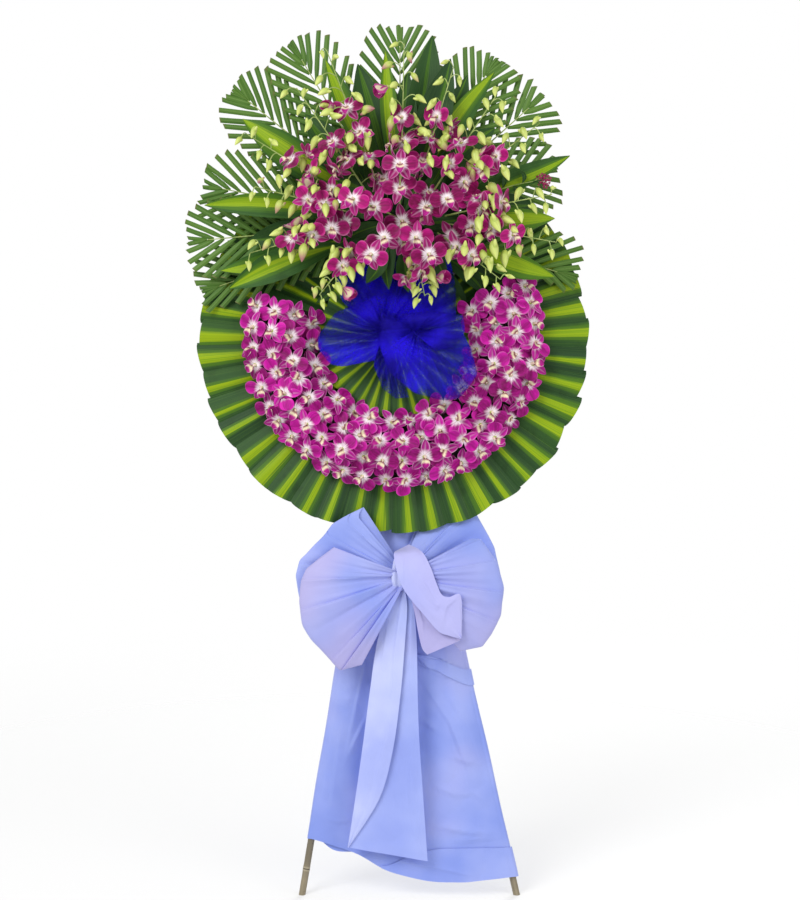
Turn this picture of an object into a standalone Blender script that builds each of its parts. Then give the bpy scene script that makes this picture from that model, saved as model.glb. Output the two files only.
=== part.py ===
"""Standing funeral wreath: orchids, palm fronds and striped leaves on a leaning bamboo tripod.

Everything except the back leg lies in one panel, modelled upright (X right, Y to the back,
Z up, floor line at Z = 0) and then leaned back about that floor line.
"""

import math
import random

import bmesh
import bpy
from mathutils import Matrix, Vector

MM = 0.001
GAP = 0.3 * MM

# The panel leans back from the floor by this angle.
LEAN = math.radians(7)

# Round foam board behind the leaves.
DISC_X = 0.0
DISC_Z = 1.120
BOARD_RADIUS = 0.290
BOARD_THICKNESS = 0.025
BOARD_SIDES = 48
BOARD_FRONT = -GAP - BOARD_THICKNESS

# Fan of pleated leaves on the board: angles are counted from straight down.
LEAF_PITCH = math.radians(8)
LEAVES_PER_FAN = 10
FAN_COUNT = 3
FAN_INNER = 0.110
FAN_OUTER = 0.388
FAN_VALLEY = BOARD_FRONT - 1.3 * MM
FAN_PLEAT = 0.012
LEAF_THICKNESS = 1.2 * MM
FAN_SIDE_GAP = 0.7 * MM
TIP_SCALLOP = 4 * MM

# Fan of shorter leaves inside the horseshoe.
INNER_PITCH = math.radians(11.5)
INNER_LEAVES = 20
INNER_ROOT = 0.022
INNER_TIP = 0.152
INNER_PLEAT = 0.006
INNER_VALLEY = FAN_VALLEY - FAN_PLEAT - 2.0 * MM

# Horseshoe of orchid blooms on foam blocks butted end to end.
BAND_RADIUS = 0.222
BAND_START = math.radians(-108)
BAND_END = math.radians(117)
BAND_BLOCKS = 3
BAND_BASE = FAN_VALLEY - FAN_PLEAT - LEAF_THICKNESS / 2 - GAP
BLOCK_HALF_WIDTH = 0.062
BLOCK_HEIGHT = 0.030
ROW_OFFSETS = (-0.057, -0.019, 0.019, 0.057)
ROW_TILT = math.radians(30)
BLOOM_PITCH = 0.041
BLOOM_REACH = 0.058
LAYER_STEP = 5.4 * MM
BAND_SEED = 48
JOINT_CLEARANCE = 0.013
BLOOM_CLEARANCE = 0.010
ROW_DROP = 0.62
BLOOM_JITTER = 0.12
BLOOM_ROLL = 0.6
BLOCK_STEPS = 7
BLOCK_SECTION_STEPS = 5

# Orchid bloom.
PETAL_LENGTH = 0.029
PETAL_HALF_WIDTH = 0.013
SEPAL_LENGTH = 0.028
BLOOM_THROAT = 0.008
THROAT_LIFT = 2.5 * MM
THROAT_DEPTH = 2.8 * MM
THROAT_TAPER = 0.75
PETAL_SHOULDER = 0.66
PEDICEL = 0.017
# Each tepal: its angle in degrees, length, half width (0 for a pointed sepal) and how far its
# tip stands forward.
TEPALS = (
    (-52, SEPAL_LENGTH, 0, -1 * MM),
    (12, PETAL_LENGTH, PETAL_HALF_WIDTH, 3 * MM),
    (90, SEPAL_LENGTH, 0, -1 * MM),
    (168, PETAL_LENGTH, PETAL_HALF_WIDTH, 3 * MM),
    (232, SEPAL_LENGTH, 0, -1 * MM),
)

# Floral foam block that holds the top spray.
FOAM_X = 0.012
FOAM_Z = 1.350
FOAM_SIZE = (0.230, 0.080, 0.110)
FOAM_BACK = BOARD_FRONT - GAP
FOAM_FRONT = FOAM_BACK - FOAM_SIZE[1]
ROOT_DEPTH = 0.018
STALK_RADIUS = 3.0 * MM
STALK_OUTSIDE = 0.026
STEM_RADIUS = 2.2 * MM
HUB_RADIUS = 4.4 * MM
HOLE_SIDES = 5
HOLE_ROOM = 1.5

# Palm fronds: angle from +X in degrees, length from the foam's centre, depth layer and
# how much of its width the lower side keeps beside the horseshoe.
FRONDS = (
    (20, 0.330, 1, 1.0),
    (42, 0.385, 0, 1.0),
    (60, 0.380, 1, 1.0),
    (90, 0.394, 0, 1.0),
    (121, 0.420, 1, 1.0),
    (141, 0.430, 0, 1.0),
    (169, 0.400, 1, 1.0),
    (185, 0.424, 2, 1.0),
    (199, 0.420, 0, 0.55),
    (-17, 0.368, 0, 0.36),
)
FROND_LAYERS = (-0.045, -0.054, -0.063)
FROND_HALF_WIDTH = 0.074
FROND_BARE = 0.115
LEAFLETS_PER_SIDE = 7
LEAFLET_ANGLE = math.radians(38)
LEAFLET_SHARE = 0.60
RIB_HALF_WIDTH = 2.2 * MM
FROND_ARCH = 0.004
FROND_END = 0.045
# The leaflets' slant at the root and how much flatter it gets towards the tip.
SLANT_ROOT = 1.25
SLANT_LOSS = 0.60

# Broad striped leaves: angle, length, half width, depth layer.
LEAVES = (
    (1, 0.306, 0.024, 0),
    (22, 0.358, 0.022, 1),
    (58, 0.350, 0.024, 0),
    (73, 0.335, 0.034, 1),
    (94, 0.340, 0.018, 0),
    (114, 0.350, 0.024, 1),
    (147, 0.372, 0.034, 0),
    (175, 0.386, 0.024, 1),
    (195, 0.366, 0.026, 0),
    (-19, 0.322, 0.026, 1),
)
LEAF_LAYERS = (-0.074, -0.093)
LEAF_ARCH = 0.010
LEAF_CHANNEL = 0.16
LEAF_STATIONS = 6

# Orchid sprays: where the tip of each lies from the foam's centre (x, z), and its depth layer.
SPRAYS = (
    (-0.142, 0.326, 0),
    (-0.200, 0.250, 1),
    (-0.300, 0.166, 0),
    (-0.276, 0.058, 1),
    (-0.290, -0.066, 0),
    (0.008, 0.336, 1),
    (0.104, 0.294, 0),
    (0.188, 0.238, 1),
    (0.272, 0.186, 0),
    (0.294, 0.044, 1),
    (0.304, -0.046, 0),
    (0.194, -0.120, 1),
    (0.048, -0.150, 0),
    (-0.156, -0.150, 1),
)
SPRAY_LAYERS = (-0.140, -0.166)
SPRAY_FACE = (0.078, 0.038)
SPRAY_SEED = 5
SPRAY_BEND = 0.045
SPRAY_ROLL = 0.5
STRAIGHT_RUN = 5 * MM
STEM_STEPS = 5
BLOOM_STATIONS = ((0.40, 0.57, 0.71), (0.48, 0.64))
BLOOM_STAND_OFF = 0.016
SPRAY_PEDICEL = 0.0175
BUD_STATIONS = (0.78, 0.84, 0.89, 0.94, 0.98)
CENTRE_ANGLES = (90, 162, 234, 306, 18)
CENTRE_HUB = 0.030
CENTRE_REACH = 0.098
CENTRE_DEPTH = -0.215
CENTRE_STATIONS = (0.62, 0.97)
BUD_LENGTH = 0.030
BUD_RADIUS = 5.5 * MM
BUD_BELLY = 0.66
BUD_FLATNESS = 0.8

# Bamboo stand.
LEG_RADIUS = 0.007
SPINE_RADIUS = 0.011
BATTEN = (0.480, 0.006, 0.030)
BATTEN_HEIGHTS = (0.990, 1.260)
SPINE_Y = BATTEN[1] + GAP + SPINE_RADIUS
SPINE_BOTTOM = 0.800
SPINE_TOP = 1.400
APEX_Z = 1.010
APEX_GAP = 0.5 * MM
BELOW_FLOOR = -0.030
FLOOR_CUTTER = (3, 3, 0.2)
LEFT_FOOT_X = -0.186
RIGHT_FOOT_X = 0.248
BACK_LEG_TOP = 1.180
BACK_LEG_FOOT = 0.500
RAIL_Z = 0.330
RAIL_RADIUS = 0.006
RAIL_OVERHANG = 0.014
LASHING_Z = 0.940
LASHING_HEIGHT = 0.024
LASHING_WALL = 0.003

# Cloth on the legs, its bow and the blue net inside the horseshoe.
CLOTH_THICKNESS = 2.0 * MM
KNOT = (0.016, -0.0422, 0.646)
KNOT_SIZE = (0.0125, 0.031, 0.026)
LOOP_DEPTH = -0.053
SKIRT_TOP = 0.800
SKIRT_HEM = (0.116, 0.050)
SKIRT_SAG = 0.022
SKIRT_STATIONS = (1, 0.84, 0.66, 0.48, 0.28, 0.12, 0)
SKIRT_COLUMNS = 11
SKIRT_BELLY = 0.020
SKIRT_FOLD = 4.0 * MM
SKIRT_FOLDS = 2.3
SKIRT_CLEARANCE = 1.4 * MM
PUFF_RINGS = (0.80, 0.50)

# Outlines in millimetres, each point as (x, z) on the bow and (x, y, z) on the net.
LOOP_LEFT = ((1, 652), (-62, 704), (-100, 776), (-150, 748), (-192, 690), (-198, 622),
             (-186, 560), (-104, 466), (-44, 524), (-5, 632))
LOOP_RIGHT = ((30.8, 650), (88, 716), (168, 722), (210, 668), (216, 600), (176, 516),
              (118, 510), (92, 552), (44, 606), (32, 636))
LOOP_BULGE = (0.028, 0.010)
LOOP_PLEATS = 5
LOOP_PLEAT_DEPTH = 4 * MM
NET_LEFT = ((-22, -80, 1156), (-62, -76, 1200), (-122, -108, 1150), (-146, -122, 1096),
            (-128, -120, 1060), (-68, -106, 1060), (-34, -92, 1086))
NET_UPPER = ((-96, -66, 1196), (-82, -62, 1256), (-30, -60, 1282), (60, -60, 1282),
             (112, -62, 1262), (128, -64, 1210), (104, -68, 1186), (-10, -72, 1164))
NET_RIGHT = ((-8, -84, 1146), (30, -92, 1170), (96, -104, 1162), (140, -120, 1130),
             (162, -124, 1066), (120, -120, 1008), (56, -112, 1010), (6, -96, 1050))
# Each form of the net: its outline and how far it bulges to the front and to the back.
NET_FORMS = {
    "net_left": ((NET_LEFT, 0.024, 0.0482), (NET_UPPER, 0.012, 0.004)),
    "net_right": ((NET_RIGHT, 0.030, 0.0553),),
}
# Each station of a tail, in millimetres: its left and right edge, its depth and its height.
TAILS = {
    "bow_tail_long": ((-10, 20, -42, 619.6), (-20, 24, -44, 570), (-44, 34, -40, 480),
                      (-62, 42, -36, 330), (-84, 54, -32, 150), (-92, 62, -30, 82)),
    "bow_tail_short": ((23, 33, -57, 630), (52, 86, -88, 584), (66, 108, -92, 520),
                       (56, 102, -86, 452)),
}
TAIL_FOLD = 5 * MM
TAIL_COLUMNS = 5

COLOURS = {
    "bamboo": ((0.42, 0.33, 0.19), 0.7),
    "foam_board": ((0.82, 0.82, 0.78), 0.9),
    "floral_foam": ((0.10, 0.26, 0.12), 0.95),
    "leaf": ((0.11, 0.30, 0.05), 0.45),
    "palm": ((0.07, 0.20, 0.04), 0.5),
    "orchid": ((0.56, 0.02, 0.36), 0.5),
    "blue_net": ((0.04, 0.02, 0.62), 0.6),
    "pale_cloth": ((0.55, 0.60, 0.95), 0.7),
    "cord": ((0.30, 0.28, 0.24), 0.8),
}


def clear_scene():
    for obj in list(bpy.data.objects):
        bpy.data.objects.remove(obj)


def material(slot):
    """The Principled material of one slot, made on first use."""
    found = bpy.data.materials.get(slot)
    if found:
        return found
    colour, roughness = COLOURS[slot]
    made = bpy.data.materials.new(slot)
    made.use_nodes = True
    shader = made.node_tree.nodes["Principled BSDF"]
    shader.inputs["Base Color"].default_value = (*colour, 1)
    shader.inputs["Roughness"].default_value = roughness
    shader.inputs["Metallic"].default_value = 0
    return made


def add_object(name, mesh, slot, where=(0, 0, 0), turn=(0, 0, 0)):
    """Links a mesh as a part of the wreath, leaned with the panel."""
    obj = bpy.data.objects.new(name, mesh)
    WREATH.objects.link(obj)
    obj.location = where
    obj.rotation_euler = turn
    obj.parent = PANEL
    mesh.materials.clear()
    mesh.materials.append(material(slot))
    return obj


def mesh_from(points, faces):
    """A triangulated mesh with its faces pointing out."""
    mesh = bpy.data.meshes.new("shape")
    mesh.from_pydata([tuple(p) for p in points], [], faces)
    shape = bmesh.new()
    shape.from_mesh(mesh)
    bmesh.ops.triangulate(shape, faces=shape.faces)
    bmesh.ops.recalc_face_normals(shape, faces=shape.faces)
    shape.to_mesh(mesh)
    shape.free()
    return mesh


def grid_mesh(rows):
    """An open surface through rows of points, split into triangles."""
    across = len(rows[0])
    points = [p for row in rows for p in row]
    faces = []
    for i in range(len(rows) - 1):
        for j in range(across - 1):
            a = i * across + j
            faces.append((a, a + 1, a + across + 1))
            faces.append((a, a + across + 1, a + across))
    return mesh_from(points, faces)


def evaluated_mesh(obj):
    graph = bpy.context.evaluated_depsgraph_get()
    return bpy.data.meshes.new_from_object(obj.evaluated_get(graph))


def sheet(name, rows, slot, thickness=CLOTH_THICKNESS, where=(0, 0, 0)):
    """A thin shell of even thickness through rows of points."""
    obj = add_object(name, grid_mesh(rows), slot, where)
    shell = obj.modifiers.new("thickness", "SOLIDIFY")
    shell.thickness = thickness
    shell.offset = 0
    return obj


def loose(mesh):
    """A helper object that is joined into a part and then removed."""
    obj = bpy.data.objects.new("piece", mesh)
    bpy.context.scene.collection.objects.link(obj)
    return obj


def fused_mesh(meshes):
    """One closed mesh from closed meshes that overlap."""
    if len(meshes) == 1:
        return meshes[0]
    base = loose(meshes[0])
    repeats = bpy.data.collections.new("repeats")
    bpy.context.scene.collection.children.link(repeats)
    others = []
    for mesh in meshes[1:]:
        obj = bpy.data.objects.new("repeat", mesh)
        repeats.objects.link(obj)
        others.append(obj)
    join = base.modifiers.new("join", "BOOLEAN")
    join.operation = "UNION"
    join.solver = "MANIFOLD"
    join.operand_type = "COLLECTION"
    join.collection = repeats
    fused = evaluated_mesh(base)
    for obj in [base, *others]:
        bpy.data.objects.remove(obj)
    bpy.data.collections.remove(repeats)
    return fused


def mesh_of_curve(curve):
    """A curve as a mesh with its caps welded on."""
    guide = loose(curve)
    mesh = evaluated_mesh(guide)
    bpy.data.objects.remove(guide)
    shape = bmesh.new()
    shape.from_mesh(mesh)
    bmesh.ops.remove_doubles(shape, verts=shape.verts, dist=0.001 * MM)
    bmesh.ops.recalc_face_normals(shape, faces=shape.faces)
    shape.to_mesh(mesh)
    shape.free()
    return mesh


def add_line(curve, points):
    """Adds straight runs through the points to a curve."""
    spline = curve.splines.new("POLY")
    spline.points.add(len(points) - 1)
    for knot, place in zip(spline.points, points):
        knot.co = (*place, 1)
    return spline


def tube_mesh(points, radius):
    """A closed four-sided tube along points."""
    curve = bpy.data.curves.new("tube", "CURVE")
    curve.dimensions = "3D"
    curve.bevel_depth = radius
    curve.bevel_resolution = 0
    curve.use_fill_caps = True
    add_line(curve, points)
    return mesh_of_curve(curve)


def cylinder_mesh(radius, depth, sides):
    """A closed cylinder along Z round the origin."""
    shape = bmesh.new()
    bmesh.ops.create_cone(shape, cap_ends=True, segments=sides, radius1=radius,
                          radius2=radius, depth=depth)
    mesh = bpy.data.meshes.new("cylinder")
    shape.to_mesh(mesh)
    shape.free()
    return mesh


def pole(name, low, high, radius, slot="bamboo", sides=14):
    """A straight round pole between two points."""
    low, high = Vector(low), Vector(high)
    mesh = cylinder_mesh(radius, (high - low).length, sides)
    mesh.shade_smooth()
    mesh.set_sharp_from_angle(angle=math.radians(40))
    turn = (high - low).to_track_quat("Z", "Y").to_euler()
    return add_object(name, mesh, slot, (low + high) / 2, turn)


def add_cutter(name, mesh, group, where):
    """A shape that only cuts others."""
    cutter = bpy.data.objects.new(name, mesh)
    group.objects.link(cutter)
    cutter.location = where
    cutter.hide_render = True
    cutter.display_type = "WIRE"
    return cutter


def box_mesh(size):
    shape = bmesh.new()
    bmesh.ops.create_cube(shape, size=1)
    bmesh.ops.scale(shape, vec=size, verts=shape.verts)
    mesh = bpy.data.meshes.new("box")
    shape.to_mesh(mesh)
    shape.free()
    return mesh


def bezier(start, control, end, t):
    return start * (1 - t) ** 2 + control * (2 * t * (1 - t)) + end * t ** 2


def facing(normal, roll):
    """A turn that takes +Z to normal and +Y as near to up as it can, then rolls it."""
    forward = Vector(normal).normalized()
    side = Vector((0, 0, 1)).cross(forward)
    if side.length < 1e-3:
        side = Vector((1, 0, 0))
    side.normalize()
    turn = Matrix((side, forward.cross(side), forward)).transposed()
    return turn @ Matrix.Rotation(roll, 3, "Z")


# Orchid bloom and bud


def tepal_outline(angle, length, half_width):
    """Outer points of a petal from shoulder to shoulder, or the one tip of a sepal."""
    along = Vector((math.cos(angle), math.sin(angle), 0))
    across = Vector((-along.y, along.x, 0))
    shoulder = PETAL_SHOULDER
    ends = ((shoulder, -1), (1, 0), (shoulder, 1)) if half_width else ((1, 0),)
    return [along * length * a + across * half_width * b for a, b in ends]


def bloom_mesh(place, normal, roll, pedicel):
    """Five tepals round a throat, closed behind and drawn out to a pedicel's tip."""
    count = len(TEPALS)
    points = [Vector((0, 0, THROAT_LIFT)), Vector((0, 0, -pedicel))]
    throat_front, throat_back = [], []
    for i in range(count):
        before = TEPALS[i - 1][0] - (360 if i == 0 else 0)
        middle = math.radians((before + TEPALS[i][0]) / 2)
        out = Vector((math.cos(middle), math.sin(middle), 0)) * BLOOM_THROAT
        throat_front.append(len(points))
        points.append(out)
        throat_back.append(len(points))
        points.append(out * THROAT_TAPER - Vector((0, 0, THROAT_DEPTH)))
    faces = []
    for i, (angle, length, half_width, lift) in enumerate(TEPALS):
        after = (i + 1) % count
        rim = []
        for p in tepal_outline(math.radians(angle), length, half_width):
            rim.append(len(points))
            points.append(p + Vector((0, 0, lift)))
        front = [throat_front[i], *rim, throat_front[after]]
        faces += [(0, a, b) for a, b in zip(front, front[1:])]
        faces += [(throat_back[i], b, a) for a, b in zip(rim, rim[1:])]
        faces.append((throat_back[i], throat_back[after], rim[-1]))
        faces.append((throat_front[i], throat_back[i], rim[0]))
        faces.append((throat_front[after], rim[-1], throat_back[after]))
        faces.append((throat_back[i], 1, throat_back[after]))
    turn = facing(normal, roll)
    return mesh_from([Vector(place) + turn @ p for p in points], faces)


def bud_mesh(root, direction):
    """A closed bud that hangs from a thin neck."""
    direction = Vector(direction).normalized()
    side = direction.orthogonal().normalized()
    other = direction.cross(side)
    belly = Vector(root) + direction * BUD_LENGTH * BUD_BELLY
    ring = [
        belly + side * BUD_RADIUS,
        belly + other * BUD_RADIUS * BUD_FLATNESS,
        belly - side * BUD_RADIUS,
        belly - other * BUD_RADIUS * BUD_FLATNESS,
    ]
    points = [Vector(root) - direction * 1.5 * MM, *ring, Vector(root) + direction * BUD_LENGTH]
    faces = []
    for i in range(4):
        a, b = 1 + i, 1 + (i + 1) % 4
        faces += [(0, a, b), (5, b, a)]
    return mesh_from(points, faces)


# Horseshoe


def block_edges():
    step = (BAND_END - BAND_START) / BAND_BLOCKS
    return [BAND_START + i * step for i in range(BAND_BLOCKS + 1)]


def off_joints(angle, radius):
    """Moves a bloom that would sit on a joint between two foam blocks."""
    keep = JOINT_CLEARANCE / radius
    for edge in block_edges():
        if abs(angle - edge) < keep:
            angle = edge + math.copysign(keep, angle - edge)
    return min(max(angle, BAND_START + keep), BAND_END - keep)


def band_blooms():
    """Each bloom of the horseshoe: (angle, place, normal, roll, pedicel, layer)."""
    rng = random.Random(BAND_SEED)
    spots = []
    for offset in ROW_OFFSETS:
        radius = BAND_RADIUS + offset
        count = round((BAND_END - BAND_START) * radius / BLOOM_PITCH)
        step = (BAND_END - BAND_START) / count
        for i in range(count):
            angle = BAND_START + (i + 0.5 + rng.uniform(-BLOOM_JITTER, BLOOM_JITTER)) * step
            roll = rng.uniform(-BLOOM_ROLL, BLOOM_ROLL)
            spots.append((off_joints(angle, radius), radius, offset, roll))
    spots.sort()
    blooms = []
    for angle, radius, offset, roll in spots:
        across = offset / ROW_OFFSETS[-1]
        place = Vector((radius * math.sin(angle), 0, -radius * math.cos(angle)))
        taken = {
            layer for other, layer in ((b[1], b[5]) for b in blooms)
            if math.hypot(other.x - place.x, other.z - place.z) < BLOOM_REACH
        }
        layer = min(set(range(9)) - taken)
        outward = place.normalized()
        tilt = ROW_TILT * across
        normal = outward * math.sin(tilt) + Vector((0, -math.cos(tilt), 0))
        height = BLOOM_CLEARANCE + BLOCK_HEIGHT * (1 - ROW_DROP * across ** 2)
        place.y = BAND_BASE - height - layer * LAYER_STEP
        blooms.append((angle, place, normal, roll, PEDICEL + layer * LAYER_STEP, layer))
    return blooms


def block_mesh(start, end):
    """One curved foam block with a domed section."""
    trim = GAP / BAND_RADIUS
    step = (end - start - 2 * trim) / BLOCK_STEPS
    angles = [start + trim + step * i for i in range(BLOCK_STEPS + 1)]
    section = []
    for i in range(BLOCK_SECTION_STEPS + 1):
        turn = math.pi * i / BLOCK_SECTION_STEPS
        section.append((BLOCK_HALF_WIDTH * math.cos(turn), BLOCK_HEIGHT * math.sin(turn)))
    points, faces = [], []
    for angle in angles:
        for across, height in section:
            radius = BAND_RADIUS + across
            points.append((radius * math.sin(angle), BAND_BASE - height,
                           -radius * math.cos(angle)))
    n = len(section)
    for i in range(len(angles) - 1):
        for j in range(n):
            k = (j + 1) % n
            faces.append((i * n + j, i * n + k, (i + 1) * n + k, (i + 1) * n + j))
    faces.append(tuple(range(n)))
    faces.append(tuple(range((len(angles) - 1) * n, len(angles) * n)))
    return mesh_from(points, faces)


def make_band():
    blooms = band_blooms()
    edges = block_edges()
    for i, (start, end) in enumerate(zip(edges, edges[1:]), 1):
        pieces = [block_mesh(start, end)]
        for angle, place, normal, roll, pedicel, _ in blooms:
            if start <= angle < end:
                pieces.append(bloom_mesh(place, normal, roll, pedicel))
        add_object(f"flower_band_{i}", fused_mesh(pieces), "orchid", (DISC_X, 0, DISC_Z))


# Leaf fans


def fan_rows(radii, start, leaves, pitch, valley, pleat):
    """Rows of points through a pleated fan: a ridge on each leaf, a valley between two."""
    rows = []
    for radius in radii:
        row = []
        for j in range(2 * leaves + 1):
            ridge = j % 2
            angle = start + j * pitch / 2
            reach = radius + (TIP_SCALLOP * ridge if radius == radii[-1] else 0)
            row.append((reach * math.sin(angle), valley - pleat * ridge, -reach * math.cos(angle)))
        rows.append(row)
    return rows


def make_fans():
    where = (DISC_X, 0, DISC_Z)
    spread = FAN_COUNT * LEAVES_PER_FAN * LEAF_PITCH
    for i in range(FAN_COUNT):
        start = -spread / 2 + i * LEAVES_PER_FAN * LEAF_PITCH
        trim = FAN_SIDE_GAP / FAN_INNER
        pitch = LEAF_PITCH - 2 * trim / LEAVES_PER_FAN
        rows = fan_rows((FAN_INNER, FAN_OUTER), start + trim, LEAVES_PER_FAN, pitch,
                        FAN_VALLEY, FAN_PLEAT)
        sheet(f"leaf_fan_{i + 1}", rows, "leaf", LEAF_THICKNESS, where)
    start = -INNER_LEAVES * INNER_PITCH / 2
    rows = fan_rows((INNER_ROOT, INNER_TIP), start, INNER_LEAVES, INNER_PITCH,
                    INNER_VALLEY, INNER_PLEAT)
    sheet("inner_leaf_fan", rows, "leaf", LEAF_THICKNESS, where)


# Foam block and what stands in it


def exit_distance(angle):
    """How far the foam's side lies from its centre along an angle."""
    across = abs(math.cos(angle)) / (FOAM_SIZE[0] / 2)
    up = abs(math.sin(angle)) / (FOAM_SIZE[2] / 2)
    return 1 / max(across, up)


def place_in_foam(name, mesh, slot, angle, depth):
    """Stands a leaf or frond that was made along +X at its angle round the foam's centre."""
    return add_object(name, mesh, slot, (FOAM_X, depth, FOAM_Z), (0, -angle, 0))


def leaf_width(t):
    """Share of the full width along a broad leaf: narrow root, wide middle, pointed tip."""
    return max(0.05, math.sin(math.pi * min(1, 0.06 + 0.94 * t) ** 1.1) ** 0.8)


def broad_leaf_mesh(start, length, half_width):
    """A channelled pointed blade on a short round stalk, along +X with its face to -Y."""
    root = start + STALK_OUTSIDE - 8 * MM
    rows = []
    for i in range(LEAF_STATIONS):
        t = i / (LEAF_STATIONS - 1)
        x = root + (length - root) * t
        half = half_width * leaf_width(t)
        arch = -LEAF_ARCH * math.sin(math.pi * t)
        edge = arch - LEAF_CHANNEL * half
        rows.append(((x, edge, -half), (x, arch, 0), (x, edge, half)))
    return stalked(grid_mesh(rows), start)


def frond_mesh(start, length, shares):
    """A flat rib with cut leaflets on both sides, arched towards the front, on a round stalk."""
    first, last = max(start + 10 * MM, FROND_BARE), length - FROND_END
    step = (last - first) / LEAFLETS_PER_SIDE
    stations = [start + 4 * MM]
    for i in range(LEAFLETS_PER_SIDE):
        stations += [first + i * step, first + (i + LEAFLET_SHARE) * step]
    points, faces = [], []
    for x in stations:
        points += [(x, RIB_HALF_WIDTH), (x, -RIB_HALF_WIDTH)]
    for k in range(len(stations) - 1):
        a = 2 * k
        faces += [(a, a + 1, a + 3), (a, a + 3, a + 2)]
    for i in range(LEAFLETS_PER_SIDE):
        u = (i + 0.5) / LEAFLETS_PER_SIDE
        full = FROND_HALF_WIDTH * (1 - 0.55 * (2 * u - 0.9) ** 2)
        slant = LEAFLET_ANGLE * (SLANT_ROOT - SLANT_LOSS * u)
        root, width = first + i * step, LEAFLET_SHARE * step
        for side, share in zip((1, -1), shares):
            reach = full * share
            run = reach / math.tan(slant)
            a = 2 * (2 * i + 1) + (0 if side > 0 else 1)
            tip = len(points)
            points.append((root + run, side * reach))
            points.append((root + run + width, side * (reach - 0.4 * width)))
            faces += [(a, tip, tip + 1), (a, tip + 1, a + 2)]
    arched = []
    for x, y in points:
        along = min(1, max(0, (x - start) / (length - start)))
        arched.append((x, -FROND_ARCH * math.sin(math.pi * along), y))
    return stalked(mesh_from(arched, faces), start)


def stalked(surface, start):
    """Gives an open surface its thickness and joins it to a stalk that ends inside the foam."""
    blade = loose(surface)
    shell = blade.modifiers.new("thickness", "SOLIDIFY")
    shell.thickness = LEAF_THICKNESS
    shell.offset = 0
    mesh = evaluated_mesh(blade)
    bpy.data.objects.remove(blade)
    stalk = tube_mesh([(start - ROOT_DEPTH, 0, 0), (start + STALK_OUTSIDE, 0, 0)], STALK_RADIUS)
    return fused_mesh([mesh, stalk])


def make_fronds_and_leaves():
    """Fronds at the back of the foam, broad leaves in front of them. Returns their sockets."""
    sockets = []
    for i, (degrees, length, layer, low_share) in enumerate(FRONDS, 1):
        angle = math.radians(degrees)
        start = exit_distance(angle)
        shares = (low_share, 1) if math.cos(angle) < 0 else (1, low_share)
        mesh = frond_mesh(start, length, shares)
        place_in_foam(f"palm_frond_{i}", mesh, "palm", angle, FROND_LAYERS[layer])
        sockets.append((angle, start, FROND_LAYERS[layer]))
    for i, (degrees, length, half, layer) in enumerate(LEAVES, 1):
        angle = math.radians(degrees)
        start = exit_distance(angle)
        mesh = broad_leaf_mesh(start, length, half)
        place_in_foam(f"broad_leaf_{i}", mesh, "leaf", angle, LEAF_LAYERS[layer])
        sockets.append((angle, start, LEAF_LAYERS[layer]))
    return sockets


def spray_path(root, tip):
    """Start, control and end of a stem that leaves the foam's face and arches to its tip."""
    out = Vector((tip.x - root.x, 0, tip.z - root.z))
    start = root + Vector((0, -STRAIGHT_RUN, 0))
    control = start + out * 0.22 + Vector((0, -SPRAY_BEND, 0))
    return start, control, tip


def stem_points(path):
    return [bezier(*path, i / STEM_STEPS) for i in range(STEM_STEPS + 1)]


def spray_meshes(path, blooms, buds, rng):
    """Stem, blooms on its face and buds to both sides of its end."""
    points = stem_points(path)
    root = path[0] + Vector((0, ROOT_DEPTH + STRAIGHT_RUN - 1 * MM, 0))
    meshes = [tube_mesh([root, *points], STEM_RADIUS)]
    outward = Vector((path[2].x, 0, path[2].z)).normalized()
    for t in blooms:
        sway = Vector((rng.uniform(-0.3, 0.3), 0, rng.uniform(-0.2, 0.3)))
        normal = (Vector((0, -1, 0)) + outward * 0.25 + sway).normalized()
        place = bezier(*path, t) + normal * BLOOM_STAND_OFF
        roll = rng.uniform(-SPRAY_ROLL, SPRAY_ROLL)
        meshes.append(bloom_mesh(place, normal, roll, SPRAY_PEDICEL))
    for i, t in enumerate(buds):
        side = Vector((-outward.z, 0, outward.x)) * (1 if i % 2 else -1)
        droop = Vector((0, -0.25, -0.35))
        direction = side * 0.8 + droop + outward * 0.35
        meshes.append(bud_mesh(bezier(*path, t), direction))
    return meshes


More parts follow.
